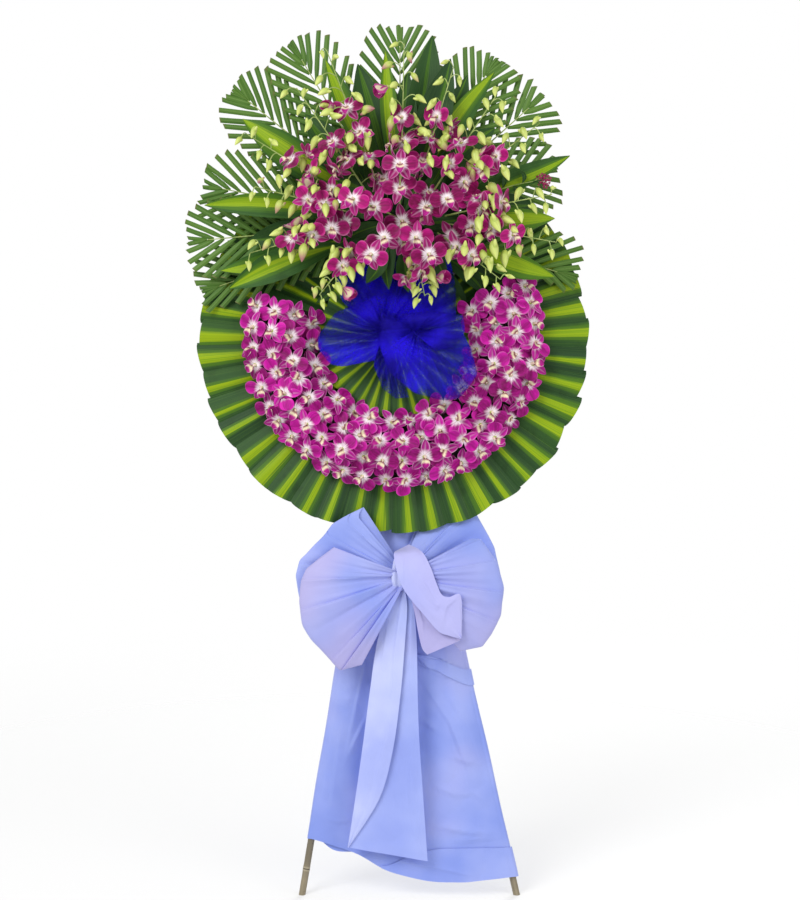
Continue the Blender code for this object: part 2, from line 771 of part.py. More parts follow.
def make_sprays():
    """Fourteen outer sprays and the centre bunch. Returns the roots' places on the foam's face."""
    rng = random.Random(SPRAY_SEED)
    where = (FOAM_X, 0, FOAM_Z)
    roots = []
    for i, (x, z, layer) in enumerate(SPRAYS, 1):
        angle = math.atan2(z, x)
        across, up = SPRAY_FACE[0] * math.cos(angle), SPRAY_FACE[1] * math.sin(angle)
        face = Vector((across, FOAM_FRONT, up))
        path = spray_path(face, Vector((x, SPRAY_LAYERS[layer], z)))
        meshes = spray_meshes(path, BLOOM_STATIONS[layer], BUD_STATIONS, rng)
        add_object(f"orchid_spray_{i}", fused_mesh(meshes), "orchid", where)
        roots.append(face)
    pieces = []
    hub = Vector((0, FOAM_FRONT - CENTRE_HUB, 0))
    for degrees in CENTRE_ANGLES:
        angle = math.radians(degrees)
        out = Vector((math.cos(angle), 0, math.sin(angle)))
        tip = out * CENTRE_REACH + Vector((0, CENTRE_DEPTH, 0))
        path = (hub, hub + Vector((0, -0.060, 0)) + out * 0.030, tip)
        pieces.append(tube_mesh(stem_points(path), STEM_RADIUS))
        for t in CENTRE_STATIONS:
            normal = (Vector((0, -1, 0)) + out * 0.30).normalized()
            place = bezier(*path, t) + normal * BLOOM_STAND_OFF
            roll = rng.uniform(-SPRAY_ROLL, SPRAY_ROLL)
            pieces.append(bloom_mesh(place, normal, roll, SPRAY_PEDICEL))
    trunk = [(0, FOAM_FRONT + ROOT_DEPTH, 0), hub + Vector((0, -4 * MM, 0))]
    pieces.append(tube_mesh(trunk, HUB_RADIUS))
    add_object("orchid_spray_centre", fused_mesh(pieces), "orchid", where)
    return roots


def make_foam(sockets, roots):
    """The floral foam with a plain hole round each root."""
    foam = add_object("foam_block", box_mesh(FOAM_SIZE), "floral_foam",
                      (FOAM_X, (FOAM_BACK + FOAM_FRONT) / 2, FOAM_Z))

    def drill(mouth, inward, root_radius):
        """A plain hole for one root, from its mouth inwards."""
        radius = root_radius * HOLE_ROOM
        mesh = cylinder_mesh(radius, 2 * (ROOT_DEPTH + 2 * MM), HOLE_SIDES)
        cutter = add_cutter("hole", mesh, ROOT_CUTTERS, mouth)
        cutter.rotation_euler = Vector(inward).to_track_quat("Z", "Y").to_euler()
        cutter.parent = PANEL

    for angle, start, y in sockets:
        out = Vector((math.cos(angle), 0, math.sin(angle)))
        mouth = Vector((FOAM_X, y, FOAM_Z)) + out * start
        drill(mouth, -out, STALK_RADIUS)
    for root in roots:
        drill(Vector((FOAM_X, 0, FOAM_Z)) + root, (0, 1, 0), STEM_RADIUS)
    drill((FOAM_X, FOAM_FRONT, FOAM_Z), (0, 1, 0), HUB_RADIUS)
    cut = foam.modifiers.new("holes", "BOOLEAN")
    cut.operation = "DIFFERENCE"
    cut.operand_type = "COLLECTION"
    cut.collection = ROOT_CUTTERS


# Cloth


def puff_mesh(outline, centre, front, back, pleats=0, pleat_depth=0.0):
    """A closed soft form: an outline of (x, y, z) points, bulging to the front and the back."""
    count = len(outline)
    points, faces = [], []

    def ring(s, bulge):
        first = len(points)
        for i, p in enumerate(outline):
            at = centre + (Vector(p) - centre) * s
            wave = pleat_depth * math.cos(pleats * 2 * math.pi * i / count) * s if s < 1 else 0
            at.y += bulge * math.sqrt(max(0.0, 1 - s * s)) + wave
            points.append(at)
        return first

    rim = ring(1.0, 0)
    for bulge in (-front, back):
        inner = rim
        for s in PUFF_RINGS:
            now = ring(s, bulge)
            for i in range(count):
                j = (i + 1) % count
                faces += [(inner + i, inner + j, now + j), (inner + i, now + j, now + i)]
            inner = now
        tip = len(points)
        points.append(centre + Vector((0, bulge, 0)))
        faces += [(inner + i, inner + (i + 1) % count, tip) for i in range(count)]
    return mesh_from(points, faces)


def closed_curve(points, count):
    """A smooth closed line through a few points, as evenly numbered points."""
    n = len(points)
    found = []
    for i in range(count):
        at = i * n / count
        k = int(at)
        t = at - k
        a, b, c, d = (Vector(points[(k + o) % n]) for o in (-1, 0, 1, 2))
        found.append(0.5 * (2 * b + (c - a) * t + (2 * a - 5 * b + 4 * c - d) * t * t
                            + (3 * b - a - 3 * c + d) * t ** 3))
    return found


def puff(line, count, front, back, pleats=0, pleat_depth=0.0):
    """A puff with a smooth outline, from a few points in millimetres."""
    outline = closed_curve([Vector(p) * MM for p in line], count)
    centre = sum(outline, Vector()) / len(outline)
    return puff_mesh(outline, centre, front, back, pleats, pleat_depth)


def make_net():
    """Blue net: two lobes at the front and the gathered sheet above them."""
    for name, forms in NET_FORMS.items():
        meshes = [puff(line, 14, front, back) for line, front, back in forms]
        add_object(name, fused_mesh(meshes), "blue_net")


def make_bow():
    """Two soft loops, the knot between them and two tails under it."""
    for name, pairs in (("bow_loop_left", LOOP_LEFT), ("bow_loop_right", LOOP_RIGHT)):
        line = [(x, LOOP_DEPTH / MM, z) for x, z in pairs]
        mesh = puff(line, 20, *LOOP_BULGE, LOOP_PLEATS, LOOP_PLEAT_DEPTH)
        add_object(name, mesh, "pale_cloth")
    shape = bmesh.new()
    bmesh.ops.create_uvsphere(shape, u_segments=10, v_segments=6, radius=1)
    bmesh.ops.scale(shape, vec=KNOT_SIZE, verts=shape.verts)
    knot = bpy.data.meshes.new("bow_knot")
    shape.to_mesh(knot)
    shape.free()
    add_object("bow_knot", knot, "pale_cloth", KNOT)
    for name, stations in TAILS.items():
        rows = []
        for i, (left_x, right_x, y, z) in enumerate(stations):
            row = []
            for j in range(TAIL_COLUMNS):
                x = left_x + (right_x - left_x) * j / (TAIL_COLUMNS - 1)
                fold = TAIL_FOLD * math.cos(j * math.pi / 2 + 0.4) * (0.2 if i == 0 else 1)
                row.append((x * MM, y * MM - fold, z * MM))
            rows.append(row)
        sheet(name, rows, "pale_cloth")


def leg_x(foot, z):
    """Where a front leg's axis is at a height."""
    top = math.copysign(SPINE_RADIUS + LEG_RADIUS + APEX_GAP, foot)
    return top + (foot - top) * (1 - z / APEX_Z)


def make_skirt():
    """Cloth over the two front legs, wrapped a little way round each."""
    front = SPINE_Y - LEG_RADIUS - SKIRT_CLEARANCE - CLOTH_THICKNESS / 2
    side = LEG_RADIUS + SKIRT_CLEARANCE + CLOTH_THICKNESS / 2
    rows = []
    for i, drop in enumerate(SKIRT_STATIONS):
        row = []
        for j in range(SKIRT_COLUMNS):
            s = j / (SKIRT_COLUMNS - 1)
            middle = math.sin(math.pi * s)
            hem = SKIRT_HEM[0] + (SKIRT_HEM[1] - SKIRT_HEM[0]) * s
            z = hem + (SKIRT_TOP - hem) * drop - SKIRT_SAG * middle ** 2 * (1 - drop)
            left, right = leg_x(LEFT_FOOT_X, z), leg_x(RIGHT_FOOT_X, z)
            fold = SKIRT_FOLD * math.sin(2 * math.pi * SKIRT_FOLDS * s + 0.9 * i) * middle
            row.append((left + (right - left) * s, front - SKIRT_BELLY * middle ** 0.6 + fold, z))
        (left, _, low_left), (right, _, low_right) = row[0], row[-1]
        wrap = (SPINE_Y + 2 * MM, SPINE_Y - 4 * MM)
        row = [(left - side, y, low_left) for y in wrap] + row
        row += [(right + side, y, low_right) for y in reversed(wrap)]
        rows.append(row)
    sheet("skirt", rows, "pale_cloth")


# Stand


def make_stand():
    pole("backing_board", (DISC_X, BOARD_FRONT, DISC_Z), (DISC_X, -GAP, DISC_Z),
         BOARD_RADIUS, "foam_board", BOARD_SIDES)
    for name, z in zip(("batten_lower", "batten_upper"), BATTEN_HEIGHTS):
        add_object(name, box_mesh(BATTEN), "bamboo", (DISC_X, BATTEN[1] / 2, z))
    pole("spine_pole", (0, SPINE_Y, SPINE_BOTTOM), (0, SPINE_Y, SPINE_TOP), SPINE_RADIUS)
    rail_y = SPINE_Y + LEG_RADIUS + GAP + RAIL_RADIUS
    pole("lower_rail", (leg_x(LEFT_FOOT_X, RAIL_Z) - RAIL_OVERHANG, rail_y, RAIL_Z),
         (leg_x(RIGHT_FOOT_X, RAIL_Z) + RAIL_OVERHANG, rail_y, RAIL_Z), RAIL_RADIUS)
    below = Vector((0, 0, -FLOOR_CUTTER[2] / 2))
    floor_cutter = add_cutter("floor_cutter", box_mesh(FLOOR_CUTTER), FLOOR_CUTTERS, below)
    back_y = SPINE_Y + SPINE_RADIUS + GAP
    slope = math.atan2(BACK_LEG_FOOT, BACK_LEG_TOP)
    back_top = Vector((0, back_y + LEG_RADIUS * math.cos(slope), BACK_LEG_TOP))
    legs = [("leg_back", Vector((0, BACK_LEG_FOOT, BELOW_FLOOR)), back_top)]
    for name, foot_x in (("leg_left", LEFT_FOOT_X), ("leg_right", RIGHT_FOOT_X)):
        foot, top = (Vector((leg_x(foot_x, z), SPINE_Y, z)) for z in (BELOW_FLOOR, APEX_Z))
        legs.append((name, foot, top))
    for name, foot, top in legs:
        leg = pole(name, foot, top, LEG_RADIUS)
        cut = leg.modifiers.new("floor", "BOOLEAN")
        cut.operation = "DIFFERENCE"
        cut.object = floor_cutter


def make_lashing():
    """A cord band round the spine and the two front legs, just under their joint."""
    low = LASHING_Z - LASHING_HEIGHT / 2
    half = SPINE_RADIUS + APEX_GAP
    curve = bpy.data.curves.new("apex_lashing", "CURVE")
    curve.dimensions = "2D"
    curve.fill_mode = "BOTH"
    curve.extrude = LASHING_HEIGHT / 2
    for wall in (0, LASHING_WALL):
        ring = []
        for foot_x, first in ((RIGHT_FOOT_X, -90), (LEFT_FOOT_X, 90)):
            x = leg_x(foot_x, low) + math.copysign(2 * GAP, foot_x)
            for k in range(7):
                angle = math.radians(first + k * 30)
                ring.append((x + (LEG_RADIUS + wall) * math.cos(angle),
                             (half + wall) * math.sin(angle), 0))
        add_line(curve, ring).use_cyclic_u = True
    add_object("apex_lashing", mesh_of_curve(curve), "cord", (0, SPINE_Y, LASHING_Z))


def centre_on_floor():
    """Shifts the whole wreath so that the origin is under the middle of its bounding box."""
    bpy.context.view_layer.update()
    graph = bpy.context.evaluated_depsgraph_get()
    corners = []
    for obj in WREATH.objects:
        if obj.type == "MESH" and not obj.hide_render:
            seen = obj.evaluated_get(graph)
            corners += [seen.matrix_world @ v.co for v in seen.data.vertices]
    for axis in (0, 1):
        low = min(c[axis] for c in corners)
        high = max(c[axis] for c in corners)
        PANEL.location[axis] = -(low + high) / 2


def new_collection(name):
    made = bpy.data.collections.new(name)
    bpy.context.scene.collection.children.link(made)
    return made


clear_scene()
WREATH = new_collection("funeral_wreath")
FLOOR_CUTTERS = new_collection("floor_cutters")
ROOT_CUTTERS = new_collection("root_cutters")
PANEL = bpy.data.objects.new("leaning_panel", None)
WREATH.objects.link(PANEL)
PANEL.rotation_euler = (-LEAN, 0, 0)

make_stand()
make_lashing()
make_fans()
make_band()
make_foam(make_fronds_and_leaves(), make_sprays())
make_net()
make_skirt()
make_bow()
centre_on_floor()
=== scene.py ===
"""Looks of a standing funeral wreath: orchids, net, palm and striped leaves on a bamboo tripod.

Nearly everything is modelled in the wreath's own leaning panel (X right, Y to the back, Z up
along the panel, floor line at Z = 0), in metres, and PANEL then puts it into the frame.
"""

import itertools
import math
import random

import bpy
import numpy as np
from mathutils import Matrix, Vector, noise


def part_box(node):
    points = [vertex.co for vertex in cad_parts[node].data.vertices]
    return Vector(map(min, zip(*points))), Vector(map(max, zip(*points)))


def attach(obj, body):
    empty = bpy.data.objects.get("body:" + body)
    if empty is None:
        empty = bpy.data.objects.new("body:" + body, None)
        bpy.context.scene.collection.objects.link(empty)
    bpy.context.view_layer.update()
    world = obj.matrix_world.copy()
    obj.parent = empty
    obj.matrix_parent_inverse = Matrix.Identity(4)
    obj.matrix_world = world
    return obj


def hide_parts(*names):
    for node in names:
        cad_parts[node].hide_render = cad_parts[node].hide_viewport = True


MM = 0.001
TAU = 2 * math.pi
GOLDEN_ANGLE = 2.39996
SEEDS = {"blooms": 11, "band": 21, "fans": 3, "ruff": 14, "foliage": 8, "sprays": 17, "net": 4,
         "tails": 12, "bow": 6, "stand": 33}

# Panel and board
LEAN = math.radians(7)
GAP = 0.3 * MM
BLADE = 0.6 * MM
DISC_Z = 1.120
BOARD_RADIUS = 0.290
BOARD_THICKNESS = 0.025
BOARD_FRONT = -GAP - BOARD_THICKNESS

# Fan of leaves on the board, angles from straight down
LEAF_PITCH = math.radians(8)
LEAVES_PER_FAN = 10
FAN_COUNT = 3
TOP_LEAVES = 15
ABOVE_FOAM = 0.302
FOAM_CLEARANCE = 0.020
FAN_INNER = 0.110
FAN_OUTER = 0.388
FAN_VALLEY = BOARD_FRONT - 1.3 * MM
FAN_PLEAT = 0.012
INNER_PITCH = math.radians(11.5)
INNER_LEAVES = 20
INNER_TOP_LEAVES = 11
INNER_ROOT = 0.022
INNER_TIP = 0.152
INNER_PLEAT = 0.006
INNER_VALLEY = FAN_VALLEY - FAN_PLEAT - 2.0 * MM

# Horseshoe of blooms
BAND_RADIUS = 0.222
BAND_START = math.radians(-108)
BAND_END = math.radians(117)
BAND_BLOCKS = 3
BAND_BASE = FAN_VALLEY - FAN_PLEAT - 0.9 * MM
BLOCK_HALF_WIDTH = 0.062
BLOCK_HEIGHT = 0.030
ROW_OFFSETS = (-0.057, -0.019, 0.019, 0.057)
ROW_TILT = math.radians(30)
BLOOM_PITCH = 0.041
BLOOM_REACH = 0.058
LAYER_STEP = 5.4 * MM
BAND_SEED = 48
JOINT_CLEARANCE = 0.013
BLOOM_CLEARANCE = 0.010
ROW_DROP = 0.62
BLOOM_JITTER = 0.12
BLOOM_ROLL = 0.6

# Bloom
PETAL_LENGTH = 0.030
PETAL_HALF_WIDTH = 0.0142
SEPAL_LENGTH = 0.029
SEPAL_HALF_WIDTH = 0.0086
PETAL_ANGLES = (12, 168)
SEPAL_ANGLES = (90, 232, -52)
PETAL_SHAPE = (0.60, 0.24, 2.3)
SEPAL_SHAPE = (0.45, 0.42, 1.7)
THROAT_RADIUS = 2.5 * MM
SHUT_LEAN = math.radians(72)
HALF_CLOSED = 0.55

# Foam block and what stands in it
FOAM = Vector((0.012, 0, 1.350))
FOAM_SIZE = (0.230, 0.080, 0.110)
FOAM_FRONT = BOARD_FRONT - GAP - FOAM_SIZE[1]
ROOT_DEPTH = 0.018

# Fronds: degrees from the right, length, layer, how much of the side below is there
FRONDS = (
    (20, 0.330, 1, 1.0),
    (42, 0.385, 0, 1.0),
    (60, 0.380, 1, 1.0),
    (90, 0.394, 0, 1.0),
    (121, 0.420, 1, 1.0),
    (141, 0.430, 0, 1.0),
    (169, 0.400, 1, 1.0),
    (185, 0.424, 2, 1.0),
    (199, 0.420, 0, 0.55),
    (-17, 0.368, 0, 0.36),
)
FROND_LAYERS = (-0.045, -0.054, -0.063)
FROND_HALF_WIDTH = 0.078
LEAFLET_PITCH = 0.0150
FROND_BARE = 0.100
LONGEST_LEAFLET = 0.30

# Broad leaves: degrees, length, half width, layer
LEAVES = (
    (1, 0.306, 0.024, 0),
    (22, 0.358, 0.022, 1),
    (58, 0.350, 0.024, 0),
    (73, 0.335, 0.034, 1),
    (94, 0.340, 0.018, 0),
    (114, 0.350, 0.024, 1),
    (147, 0.372, 0.034, 0),
    (175, 0.386, 0.024, 1),
    (195, 0.366, 0.026, 0),
    (-19, 0.322, 0.026, 1),
)
DARK_LEAVES = (73,)

# Further leaves without a hole of their own: degrees, length, half width, depth, dark or not
EXTRA_LEAVES = (
    (201, 0.362, 0.030, -0.083, False),
    (81, 0.376, 0.034, -0.069, True),
    (66, 0.322, 0.026, -0.071, True),
    (88, 0.300, 0.026, -0.067, True),
    (150, 0.300, 0.032, -0.069, True),
    (186, 0.300, 0.032, -0.069, True),
    (8, 0.270, 0.028, -0.069, True),
    (106, 0.325, 0.034, -0.067, True),
    (130, 0.285, 0.034, -0.067, True),
    (44, 0.265, 0.032, -0.067, True),
)
LEAF_LAYERS = (-0.074, -0.093)

# Short leaves: over the foam's face or not, count, lengths, half widths and arch in mm
RUFF = (
    (False, 26, (0.10, 0.17), (15, 21), 0.5),
    (True, 22, (0.085, 0.125), (13, 18), 6),
)

# Sprays: where the tip lies from the foam's centre, to the right and up, and its layer
SPRAYS = (
    (-0.142, 0.326, 0),
    (-0.200, 0.250, 1),
    (-0.300, 0.166, 0),
    (-0.276, 0.058, 1),
    (-0.290, -0.066, 0),
    (0.008, 0.336, 1),
    (0.104, 0.294, 0),
    (0.188, 0.238, 1),
    (0.272, 0.186, 0),
    (0.294, 0.044, 1),
    (0.304, -0.046, 0),
    (0.194, -0.120, 1),
    (0.048, -0.150, 0),
    (-0.156, -0.150, 1),
)
SPRAY_LAYERS = (-0.140, -0.166)
SPRAY_FACE = (0.078, 0.038)
SPRAY_BEND = 0.045
SPRAY_ROOT = 5 * MM
BLOOM_STATIONS = ((0.40, 0.57, 0.71), (0.48, 0.64))
BLOOM_STAND_OFF = 0.016
SPRAY_SEED = 5
SPRAY_ROLL = 0.5
EXTRA_STATIONS = (0.32, 0.52, 0.68, 0.80)
EXTRA_SHARE = 0.22
BUDS = 10
FRONT_BUDS = 2
BUDS_FROM = 0.54
BUD_SIZE = 0.035
BUD_SHRINK = 0.015
FRONT_BUD_SIZES = (0.026, 0.034)
HEART_BLOOMS = 9
HEART_HALF = (0.150, 0.088)
CENTRE_ANGLES = (90, 162, 234, 306, 18)
CENTRE_HUB = 0.030
CENTRE_REACH = 0.098
CENTRE_DEPTH = -0.215
CENTRE_STATIONS = (0.62, 0.97)
CENTRE_STAND_OFF = 1 * MM
SPRIG_PATH = ((0.110, FOAM_FRONT + 0.030, 0.020), (0.190, -0.125, 0.070), (0.281, -0.112, 0.078))
SPRIG_FLOWERS = 11

# Stand
LEG_RADIUS = 0.007
SPINE_RADIUS = 0.011
BATTEN = (0.480, 0.006, 0.030)
BATTEN_HEIGHTS = (0.990, 1.260)
SPINE_Y = BATTEN[1] + GAP + SPINE_RADIUS
SPINE_ENDS = (0.800, 1.400)
APEX_Z = 1.010
LEFT_FOOT_X = -0.186
RIGHT_FOOT_X = 0.248
BACK_LEG_TOP = 1.180
BACK_LEG_FOOT = 0.500
POLE_SIDES = 16
FIRST_JOINT = (0.04, 0.12)
JOINT_SPACING = (0.15, 0.21)
BATTEN_JOINT = 0.37
TURN_STEPS = 28
RAIL_Z = 0.330
RAIL_RADIUS = 0.006
RAIL_OVERHANG = 0.006
LASHING_Z = 0.940
LASHING_HEIGHT = 0.024
HEAD_LASHING = (1.128, 1.146)
CORD_RADIUS = 1.3 * MM
WIRE_RADIUS = 0.6 * MM

# Cloth; an edge is a row of heights from left to right
KNOT = Vector((0.016, -0.0422, 0.646))
SKIRT_TOP = 0.800
SKIRT_HEM = (0.116, 0.103, 0.087, 0.060, 0.043, 0.033, 0.032, 0.036, 0.040)
UNDER_HEM = (0.125, 0.094, 0.090, 0.075, 0.055, 0.045, 0.045, 0.050, 0.055)
LAP_TOP = (0.500, 0.500, 0.492, 0.486, 0.458)
LAP_HEM = (0.500, 0.490, 0.478, 0.459, 0.426)
HEM_TOP = (0.118, 0.105, 0.089, 0.066, 0.084, 0.097, 0.100, 0.100, 0.099)

# Creases: height, share kept on the right, width and the places that they run through, in mm
SKIRT_CREASES = (
    (8.0, 0.4, 11, (40, 489), (90, 480), (146, 462)),
    (6.4, 0.4, 9, (44, 486), (60, 470), (76, 456)),
    (4.0, 0.4, 8, (78, 452), (110, 444), (150, 428)),
    (4.0, 0.4, 8, (48, 354), (64, 350), (86, 334)),
    (4.0, 0.4, 9, (112, 282), (150, 270), (192, 264)),
    (3.2, 0.4, 10, (150, 214), (176, 196), (190, 172)),
    (4.8, 0.4, 9, (80, 142), (150, 130), (228, 124)),
    (3.2, 0.4, 8, (120, 112), (180, 118), (234, 116)),
    (4.8, 0.4, 8, (-62, 356), (-76, 326), (-92, 292)),
    (4.2, 0.4, 6, (-122, 398), (-106, 396), (-84, 396)),
    (4.2, 0.4, 6, (-118, 420), (-100, 418), (-82, 420)),
    (3.5, 0.4, 6, (-124, 384), (-106, 386), (-92, 382)),
    (4.0, 0.4, 14, (-58, 478), (-76, 400), (-94, 310)),
    (3.5, 0.4, 10, (-148, 160), (-116, 150), (-84, 152)),
    (3.8, 0.4, 14, (64, 420), (110, 350), (150, 250)),
    (3.2, 0.4, 14, (110, 400), (150, 340), (186, 250)),
    (3.5, 0.4, 12, (-110, 330), (-124, 240), (-130, 180)),
    (3.2, 0.4, 10, (70, 226), (120, 206), (160, 206)),
    (3.4, 0.4, 6, (-10, 80), (60, 64), (150, 45)),
)
TAIL_CREASES = (
    (3.2, 0.4, 9, (52, 230), (48, 160), (50, 90)),
    (3.0, 0.4, 10, (34, 590), (30, 500), (34, 400)),
    (2.6, 0.4, 8, (36, 330), (30, 250), (34, 170)),
)
LAP_CREASES = (
    (4.0, 0.4, 8, (14, 600), (2, 520), (-6, 420)),
    (3.2, 0.4, 8, (-14, 560), (-26, 470), (-36, 400)),
    (3.0, 0.4, 9, (-8, 380), (-24, 300), (-40, 240)),
)
SHORT_CREASES = (
    (3.0, 0.3, 8, (18, 628), (20, 677)),
    (4.0, 0.3, 9, (90, 588), (70, 622), (52, 656)),
    (4.0, 0.3, 8, (98, 560), (104, 590), (128, 612)),
    (2.5, 0.3, 7, (84, 584), (92, 600)),
)
FOLD_CREASES = ((2.5, 0.3, 7, (60, 505), (58, 560), (46, 600)),)
LEFT_TIE = (-0.026, -0.092, 1.134)
RIGHT_TIE = (0.046, -0.096, 1.132)
FOLDS_KEPT = 0.12
CLOTH = 0.7 * MM
SKIRT_CLEARANCE = 1.4 * MM
SKIRT_BELLY = 0.018
NET = 0.5 * MM

# Camera: square on to the panel, so that the photograph's scale holds all over it
VIEW_CENTRE = (0.012, 0.900)
VIEW_HEIGHT = 1.8
VIEW_DISTANCE = 4.2
SENSOR = 36

# Floor and light; each lamp has a name, a place, a size and a power
FLOOR_HALF = 6.0
WORLD_STRENGTH = 0.62
LAMPS = (
    ("key", (-2.2, -3.0, 3.4), 2.3, 98),
    ("fill", (2.8, -2.6, 1.6), 2.6, 36),
    ("back", (1.2, 3.2, 2.6), 2.0, 60),
)
LAMP_TARGET = Vector((0, 0, 0.95))


def linear(red, green, blue):
    """A colour from 0 to 255 as Blender's linear colour."""
    found = []
    for level in (red / 255, green / 255, blue / 255):
        found.append(level / 12.92 if level <= 0.04045 else ((level + 0.055) / 1.055) ** 2.4)
    return (*found, 1)


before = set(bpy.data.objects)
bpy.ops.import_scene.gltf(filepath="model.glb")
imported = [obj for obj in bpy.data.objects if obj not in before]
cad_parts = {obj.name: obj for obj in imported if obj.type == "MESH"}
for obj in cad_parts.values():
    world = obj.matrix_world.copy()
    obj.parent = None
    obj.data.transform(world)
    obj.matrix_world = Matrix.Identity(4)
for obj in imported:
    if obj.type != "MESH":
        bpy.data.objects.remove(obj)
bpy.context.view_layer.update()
board_low, board_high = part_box("backing_board")
board_centre = Vector((0, (BOARD_FRONT - GAP) / 2, DISC_Z))
TURN = Matrix.Rotation(-LEAN, 4, "X")
PANEL = Matrix.Translation((board_low + board_high) / 2 - TURN @ board_centre) @ TURN
DISC = Vector((0, 0, DISC_Z))
AT_DISC = Matrix.Translation(DISC)
TO_FRONT = Vector((0, -1, 0))


# Surfaces: each is (points, faces, along, across, back)


def shell(grid, thickness=BLADE):
    """A thin closed blade from a grid of points: a front, a back and a rim round them.

    along runs with the rows from 0 to 1, across with the columns from -1 to 1.
    """
    grid = np.asarray(grid, float)
    rows, columns = grid.shape[:2]
    normal = np.cross(np.gradient(grid, axis=0), np.gradient(grid, axis=1))
    normal /= np.maximum(np.linalg.norm(normal, axis=2, keepdims=True), 1e-12)
    half = normal * (thickness / 2)
    points = np.concatenate([(grid + half).reshape(-1, 3), (grid - half).reshape(-1, 3)])
    count = rows * columns
    index = np.arange(count).reshape(rows, columns)
    a, b = index[:-1, :-1].ravel(), index[:-1, 1:].ravel()
    c, d = index[1:, 1:].ravel(), index[1:, :-1].ravel()
    front = np.stack([d, c, b, a], 1)
    back = np.stack([a, b, c, d], 1) + count
    rim = np.concatenate([index[0], index[1:, -1], index[-1, -2::-1], index[-2:0:-1, 0]])
    after = np.roll(rim, -1)
    edge = np.stack([rim, after, after + count, rim + count], 1)
    along = np.tile(np.repeat(np.linspace(0, 1, rows), columns), 2)
    across = np.tile(np.tile(np.linspace(-1, 1, columns), rows), 2)
    side = np.concatenate([np.zeros(count), np.ones(count)])
    return points, np.concatenate([front, back, edge]), along, across, side


def tube(path, radii, sides=8):
    """A closed round tube along a path, its ends drawn to a point."""
    path = np.asarray([tuple(p) for p in path], float)
    radii = np.broadcast_to(np.asarray(radii, float), (len(path),))
    tangent = np.gradient(path, axis=0)
    tangent /= np.maximum(np.linalg.norm(tangent, axis=1, keepdims=True), 1e-12)
    side = np.array([0.0, 0.0, 1.0]) if abs(tangent[0][2]) < 0.9 else np.array([1.0, 0.0, 0.0])
    rings = []
    turn = np.linspace(0, TAU, sides, endpoint=False)
    for place, forward, radius in zip(path, tangent, radii):
        side = side - forward * (side @ forward)
        side /= max(np.linalg.norm(side), 1e-12)
        circle = np.outer(np.cos(turn), side) + np.outer(np.sin(turn), np.cross(forward, side))
        rings.append(place + radius * circle)
    points = np.concatenate([*rings, [path[0]], [path[-1]]])
    count = len(path)
    index = np.arange(count * sides).reshape(count, sides)
    after = np.roll(index, -1, axis=1)
    wall = np.stack([index[:-1], after[:-1], after[1:], index[1:]], -1).reshape(-1, 4)
    ends = np.full(sides, count * sides)
    first = np.stack([ends, after[0], index[0], index[0]], 1)
    last = np.stack([ends + 1, index[-1], after[-1], after[-1]], 1)
    along = np.concatenate([np.repeat(np.linspace(0, 1, count), sides), [0, 1]])
    across = np.concatenate([np.tile(np.linspace(-1, 1, sides, endpoint=False), count), [0, 0]])
    return points, np.concatenate([wall, first, last]), along, across, np.zeros(len(points))


class Cluster:
    """Surfaces gathered into one piece. Each point keeps its place on its surface and a tint."""

    def __init__(self):
        self.points, self.faces, self.marks, self.backs, self.paints = [], [], [], [], []
        self.count = 0

    def add(self, surface, place=None, tint=0.5, paint=0):
        """Takes in a surface, moved by the matrix place, with one of the piece's paints."""
        points, faces, along, across, back = surface
        if place is not None:
            m = np.array(place)
            points = points @ m[:3, :3].T + m[:3, 3]
        self.points.append(points)
        self.faces.append(faces + self.count)
        self.marks.append(np.stack([along, across, np.full(len(points), tint)], 1))
        self.backs.append(back)
        self.paints.append(np.full(len(faces), paint))
        self.count += len(points)

    def build(self, name, slot, materials, nodes=(), panel=True, sharp=50):
        """Makes the piece, which stands for those solids, with those materials. slot is not used.
        """
        mesh = bpy.data.meshes.new(name)
        rows = []
        for face in np.concatenate(self.faces).tolist():
            rows.append(face[:3] if face[3] == face[2] else face)
        mesh.from_pydata(np.concatenate(self.points).tolist(), [], rows)
        marks = mesh.attributes.new("marks", "FLOAT_VECTOR", "POINT")
        marks.data.foreach_set("vector", np.concatenate(self.marks).astype(np.float32).ravel())
        backs = mesh.attributes.new("back", "FLOAT", "POINT")
        backs.data.foreach_set("value", np.concatenate(self.backs).astype(np.float32))
        mesh.polygons.foreach_set("material_index", np.concatenate(self.paints).astype(np.int32))
        mesh.shade_smooth()
        mesh.set_sharp_from_angle(angle=math.radians(sharp))
        for material in materials:
            mesh.materials.append(material)
        return piece(name, mesh, nodes, panel)


def add_object(name, data):
    """Puts new data into the scene."""
    obj = bpy.data.objects.new(name, data)
    bpy.context.scene.collection.objects.link(obj)
    return obj


def piece(name, data, nodes=(), panel=True):
    """Adds an object to the wreath."""
    obj = add_object(name, data)
    if panel:
        obj.matrix_world = PANEL
    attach(obj, "root")
    if nodes:
        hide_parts(*nodes)
    return obj


def single(name, surface, slot, material, nodes=(), tint=0.5, **build):
    """A piece of one surface."""
    cluster = Cluster()
    cluster.add(surface, None, tint)
    return cluster.build(name, slot, [material], nodes, **build)


def lattice(rows, columns):
    """Shares along a surface, from 0 to 1 down its rows, and across it, from -1 to 1."""
    return np.linspace(0, 1, rows)[:, None], np.linspace(-1, 1, columns)[None, :]


def facing(place, normal, roll, scale=1.0):
    """A matrix that takes +Z to normal and +Y as near to up as it can, then rolls."""
    forward = Vector(normal).normalized()
    side = Vector((0, 0, 1)).cross(forward)
    if side.length < 1e-3:
        side = Vector((1, 0, 0))
    side.normalize()
    turn = Matrix((side, forward.cross(side), forward)).transposed().to_4x4()
    return Matrix.Translation(place) @ turn @ Matrix.Rotation(roll, 4, "Z") @ Matrix.Scale(scale, 4)


